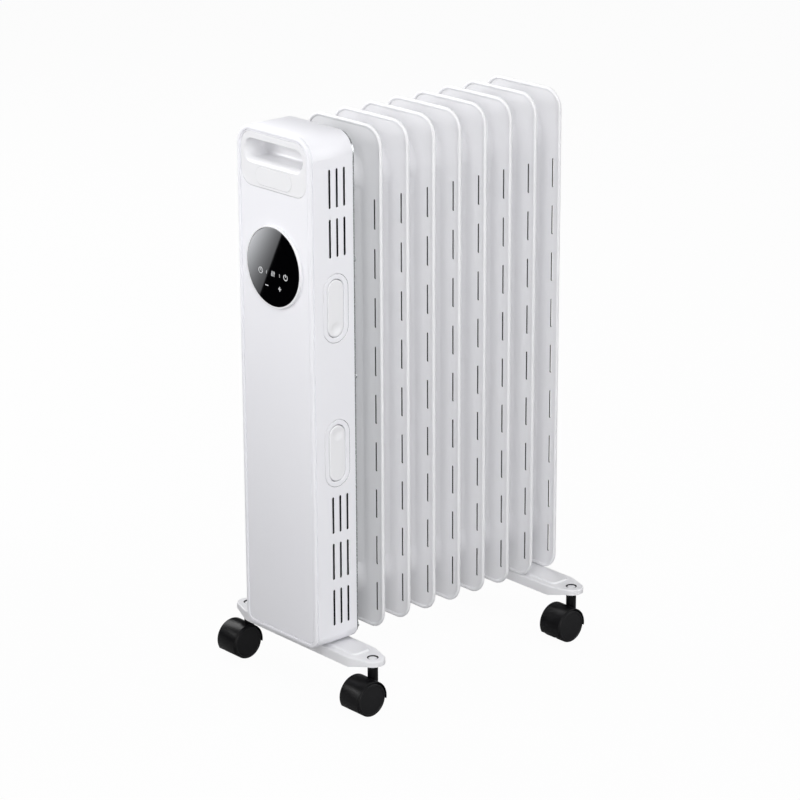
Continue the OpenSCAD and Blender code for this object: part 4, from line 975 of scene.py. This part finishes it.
world = bpy.data.worlds.new("studio")
bpy.context.scene.world = world
world.use_nodes = True
sky = world.node_tree
sky.nodes.clear()
room = add(sky, "ShaderNodeBackground", sockets={"Color": room_light, "Strength": room_strength})
plain = add(sky, "ShaderNodeBackground", sockets={"Color": backdrop, "Strength": 1.0})
seen = add(sky, "ShaderNodeMixShader", {0: seen_straight(sky), 1: room.outputs[0], 2: plain.outputs[0]})
add(sky, "ShaderNodeOutputWorld", {"Surface": seen.outputs[0]})
print("room light", room_strength, "backdrop", np.round(backdrop[:3], 3))


# %% Floor
def floor_material():
    """Shows the backdrop's colour to the camera, with a small share of grey paint for the shadow."""
    glow_strength, glow_share = 1.035, 0.95
    material, tree = blank_material("pale_floor")
    paint = add(tree, "ShaderNodeBsdfDiffuse", sockets={"Color": linear("#aaaaaa")})
    glow = add(tree, "ShaderNodeEmission", sockets={"Color": backdrop, "Strength": glow_strength})
    share = add(tree, "ShaderNodeMath", {0: seen_straight(tree)}, {1: glow_share}, operation="MULTIPLY")
    mixed = add(tree, "ShaderNodeMixShader", {0: share.outputs[0], 1: paint.outputs[0], 2: glow.outputs[0]})
    add(tree, "ShaderNodeOutputMaterial", {"Surface": mixed.outputs[0]})
    return material


def flat_stage(name, half_x, half_y, material):
    """A rectangular sheet that belongs to the studio and not to the heater."""
    mesh = bpy.data.meshes.new(name)
    corners = [(-half_x, -half_y, 0), (half_x, -half_y, 0), (half_x, half_y, 0), (-half_x, half_y, 0)]
    mesh.from_pydata(corners, [], [(0, 1, 2, 3)])
    mesh.materials.append(material)
    sheet = bpy.data.objects.new(name, mesh)
    bpy.context.scene.collection.objects.link(sheet)
    print(f"{name}: {2 * half_x} x {2 * half_y} m")
    return sheet


flat_stage("floor", 40.0, 40.0, floor_material())


# %% Lamps
def soft_lamp(name, place_m, size_m, watts):
    """A square soft box that looks at the middle of the heater, which the camera doesn't see."""
    lamp = bpy.data.lights.new(name, "AREA")
    lamp.shape = "SQUARE"
    lamp.size = size_m
    lamp.energy = watts
    stand = bpy.data.objects.new(name, lamp)
    bpy.context.scene.collection.objects.link(stand)
    stand.location = place_m
    stand.rotation_euler = (Vector((0.0, 0.0, 0.35)) - Vector(place_m)).to_track_quat("-Z", "Y").to_euler()
    stand.visible_camera = False
    print(f"{name}: {watts} W at {place_m}")


soft_lamp("front_left", (-2.1, -2.3, 1.2), 1.6, 60)
soft_lamp("front_right", (2.2, -2.2, 1.0), 1.6, 20)
soft_lamp("front_right_high", (1.6, -1.7, 2.4), 1.6, 37)
soft_lamp("right_near", (1.5, -0.5, 1.8), 0.9, 4)
soft_lamp("right_front_low", (2.6, -1.6, 0.5), 1.2, 15)
soft_lamp("right_back", (2.5, 1.8, 1.2), 1.6, 26)
soft_lamp("left", (-3.0, 0.0, 1.0), 1.6, 18)
soft_lamp("left_high", (-2.2, 0.3, 2.4), 1.6, 40)
soft_lamp("back_high", (0.3, 2.3, 2.3), 1.6, 10)
soft_lamp("top", (0.1, 0.1, 3.1), 1.6, 18)

# %% [markdown]
# ## Camera
#
# The camera stands in front and to the right, well above the heater, with a long lens. It is given
# by two angles, a distance and the point it aims at.

# %% Camera
azimuth, elevation, roll = np.radians([48.35, 18.667, -0.252])
distance_mm, aim_mm, shift_right, shift_up = 3358.77, (0.0, seam_y + 150.0, 340.0), 19.604, -28.674
level = np.array([np.sin(azimuth), -np.cos(azimuth), 0.0])
right = np.array([np.cos(azimuth), np.sin(azimuth), 0.0])
back = np.cos(elevation) * level + np.sin(elevation) * np.array([0.0, 0.0, 1.0])
up = np.cross(right, -back)
right, up = np.cos(roll) * right + np.sin(roll) * up, np.cos(roll) * up - np.sin(roll) * right
stand = (aim_mm + shift_right * right + shift_up * up + distance_mm * back) * MM


def matrix_of(axis_x, axis_y, axis_z, centre):
    """World matrix from the directions of the three axes and the centre."""
    axes = np.eye(4)
    axes[:3, 0], axes[:3, 1], axes[:3, 2], axes[:3, 3] = axis_x, axis_y, axis_z, centre
    return Matrix(axes.tolist())


lens_data = bpy.data.cameras.new("camera")
lens_data.sensor_width, lens_data.lens = 36.0, 134.27235
lens_data.clip_start, lens_data.clip_end = 0.1, 100.0
camera = bpy.data.objects.new("camera", lens_data)
bpy.context.scene.collection.objects.link(camera)
camera.matrix_world = matrix_of(right, up, back, stand)
bpy.context.scene.camera = camera
bpy.context.scene.view_settings.view_transform = "Standard"
print("camera at", np.round(stand, 3), "lens", round(lens_data.lens, 1))

# %% [markdown]
# ## Card for the glass
#
# Black glass only shows what it mirrors. A black card stands where the glass looks, low on the front
# left, and its one lit corner with a slanted edge gives the glass its grey sheen. Only mirrored rays
# see it. It also shades the foot of the cover softly from the front left box, as such a card would.
# Its light is a formula of the place on the card, worked out by a chain of math nodes.

# %% Light of the card
def card_material():
    """Light that grows with the distance from the slanted edge, inside the glass's mirror image.

    In units of the glass's radius the mirror image of the card's point (u, v) metres is
    a = u/0.036 and b = 7.01 u + 19.47 v; the edge is s = 0.48 b - a - 0.10 = 0, and the light is
    (0.09 + 0.42 s^1.5)(1 + 0.35 b)/0.063 for s > 0, where 0.063 is the glass's reflectance there. It
    ends at 1.1 radii, and its edge is softened by min(40 s, 1)."""
    material, tree = blank_material("black_card_with_lit_corner")
    at = add(tree, "ShaderNodeTexCoord").outputs["Object"]
    wires = {}
    for name, factors in (("a", (27.78, 0, 0)), ("b", (7.01, 19.47, 0)), ("slant", (-24.41, 9.346, 0))):
        wires[name] = add(tree, "ShaderNodeVectorMath", {0: at}, {1: factors},
                          operation="DOT_PRODUCT").outputs["Value"]
    for name, operation, *inputs in (
            ("past edge", "SUBTRACT", "slant", 0.10), ("s", "MAXIMUM", "past edge", 0.0),
            ("power", "POWER", "s", 1.5), ("grown", "MULTIPLY_ADD", "power", 0.42, 0.09),
            ("tilt", "MULTIPLY_ADD", "b", 0.35, 1.0), ("lit", "MULTIPLY", "grown", "tilt"),
            ("steep", "MULTIPLY", "s", 40.0), ("edge", "MINIMUM", "steep", 1.0),
            ("a squared", "MULTIPLY", "a", "a"), ("away squared", "MULTIPLY_ADD", "b", "b", "a squared"),
            ("inside", "LESS_THAN", "away squared", 1.1 ** 2), ("cut", "MULTIPLY", "edge", "inside"),
            ("light", "MULTIPLY", "lit", "cut"), ("strength", "DIVIDE", "light", 0.063)):
        links = {k: wires[value] for k, value in enumerate(inputs) if value in wires}
        fixed = {k: value for k, value in enumerate(inputs) if value not in wires}
        wires[name] = add(tree, "ShaderNodeMath", links, fixed, operation=operation).outputs[0]
    glow = add(tree, "ShaderNodeEmission", {"Strength": wires["strength"]}, {"Color": linear("#f4f6fa")})
    add(tree, "ShaderNodeOutputMaterial", {"Surface": glow.outputs[0]})
    return material


# %% Card
card_m = 0.8  # from the glass to the card, along the mirrored line of sight
glass_m = np.array([display_x, glass_front, display_z]) * MM
gaze = (glass_m - stand) / np.linalg.norm(glass_m - stand)
mirrored = gaze * (1, -1, 1)
card_u = np.array([-mirrored[1], mirrored[0], 0]) / np.hypot(mirrored[0], mirrored[1])
card = flat_stage("black_card", 0.3, 0.22, card_material())
card.matrix_world = matrix_of(card_u, np.cross(mirrored, card_u), mirrored, glass_m + card_m * mirrored)
card.visible_camera = card.visible_diffuse = card.visible_transmission = False
print("card at", np.round(glass_m + card_m * mirrored, 3), "turned", np.round(card_u, 3))
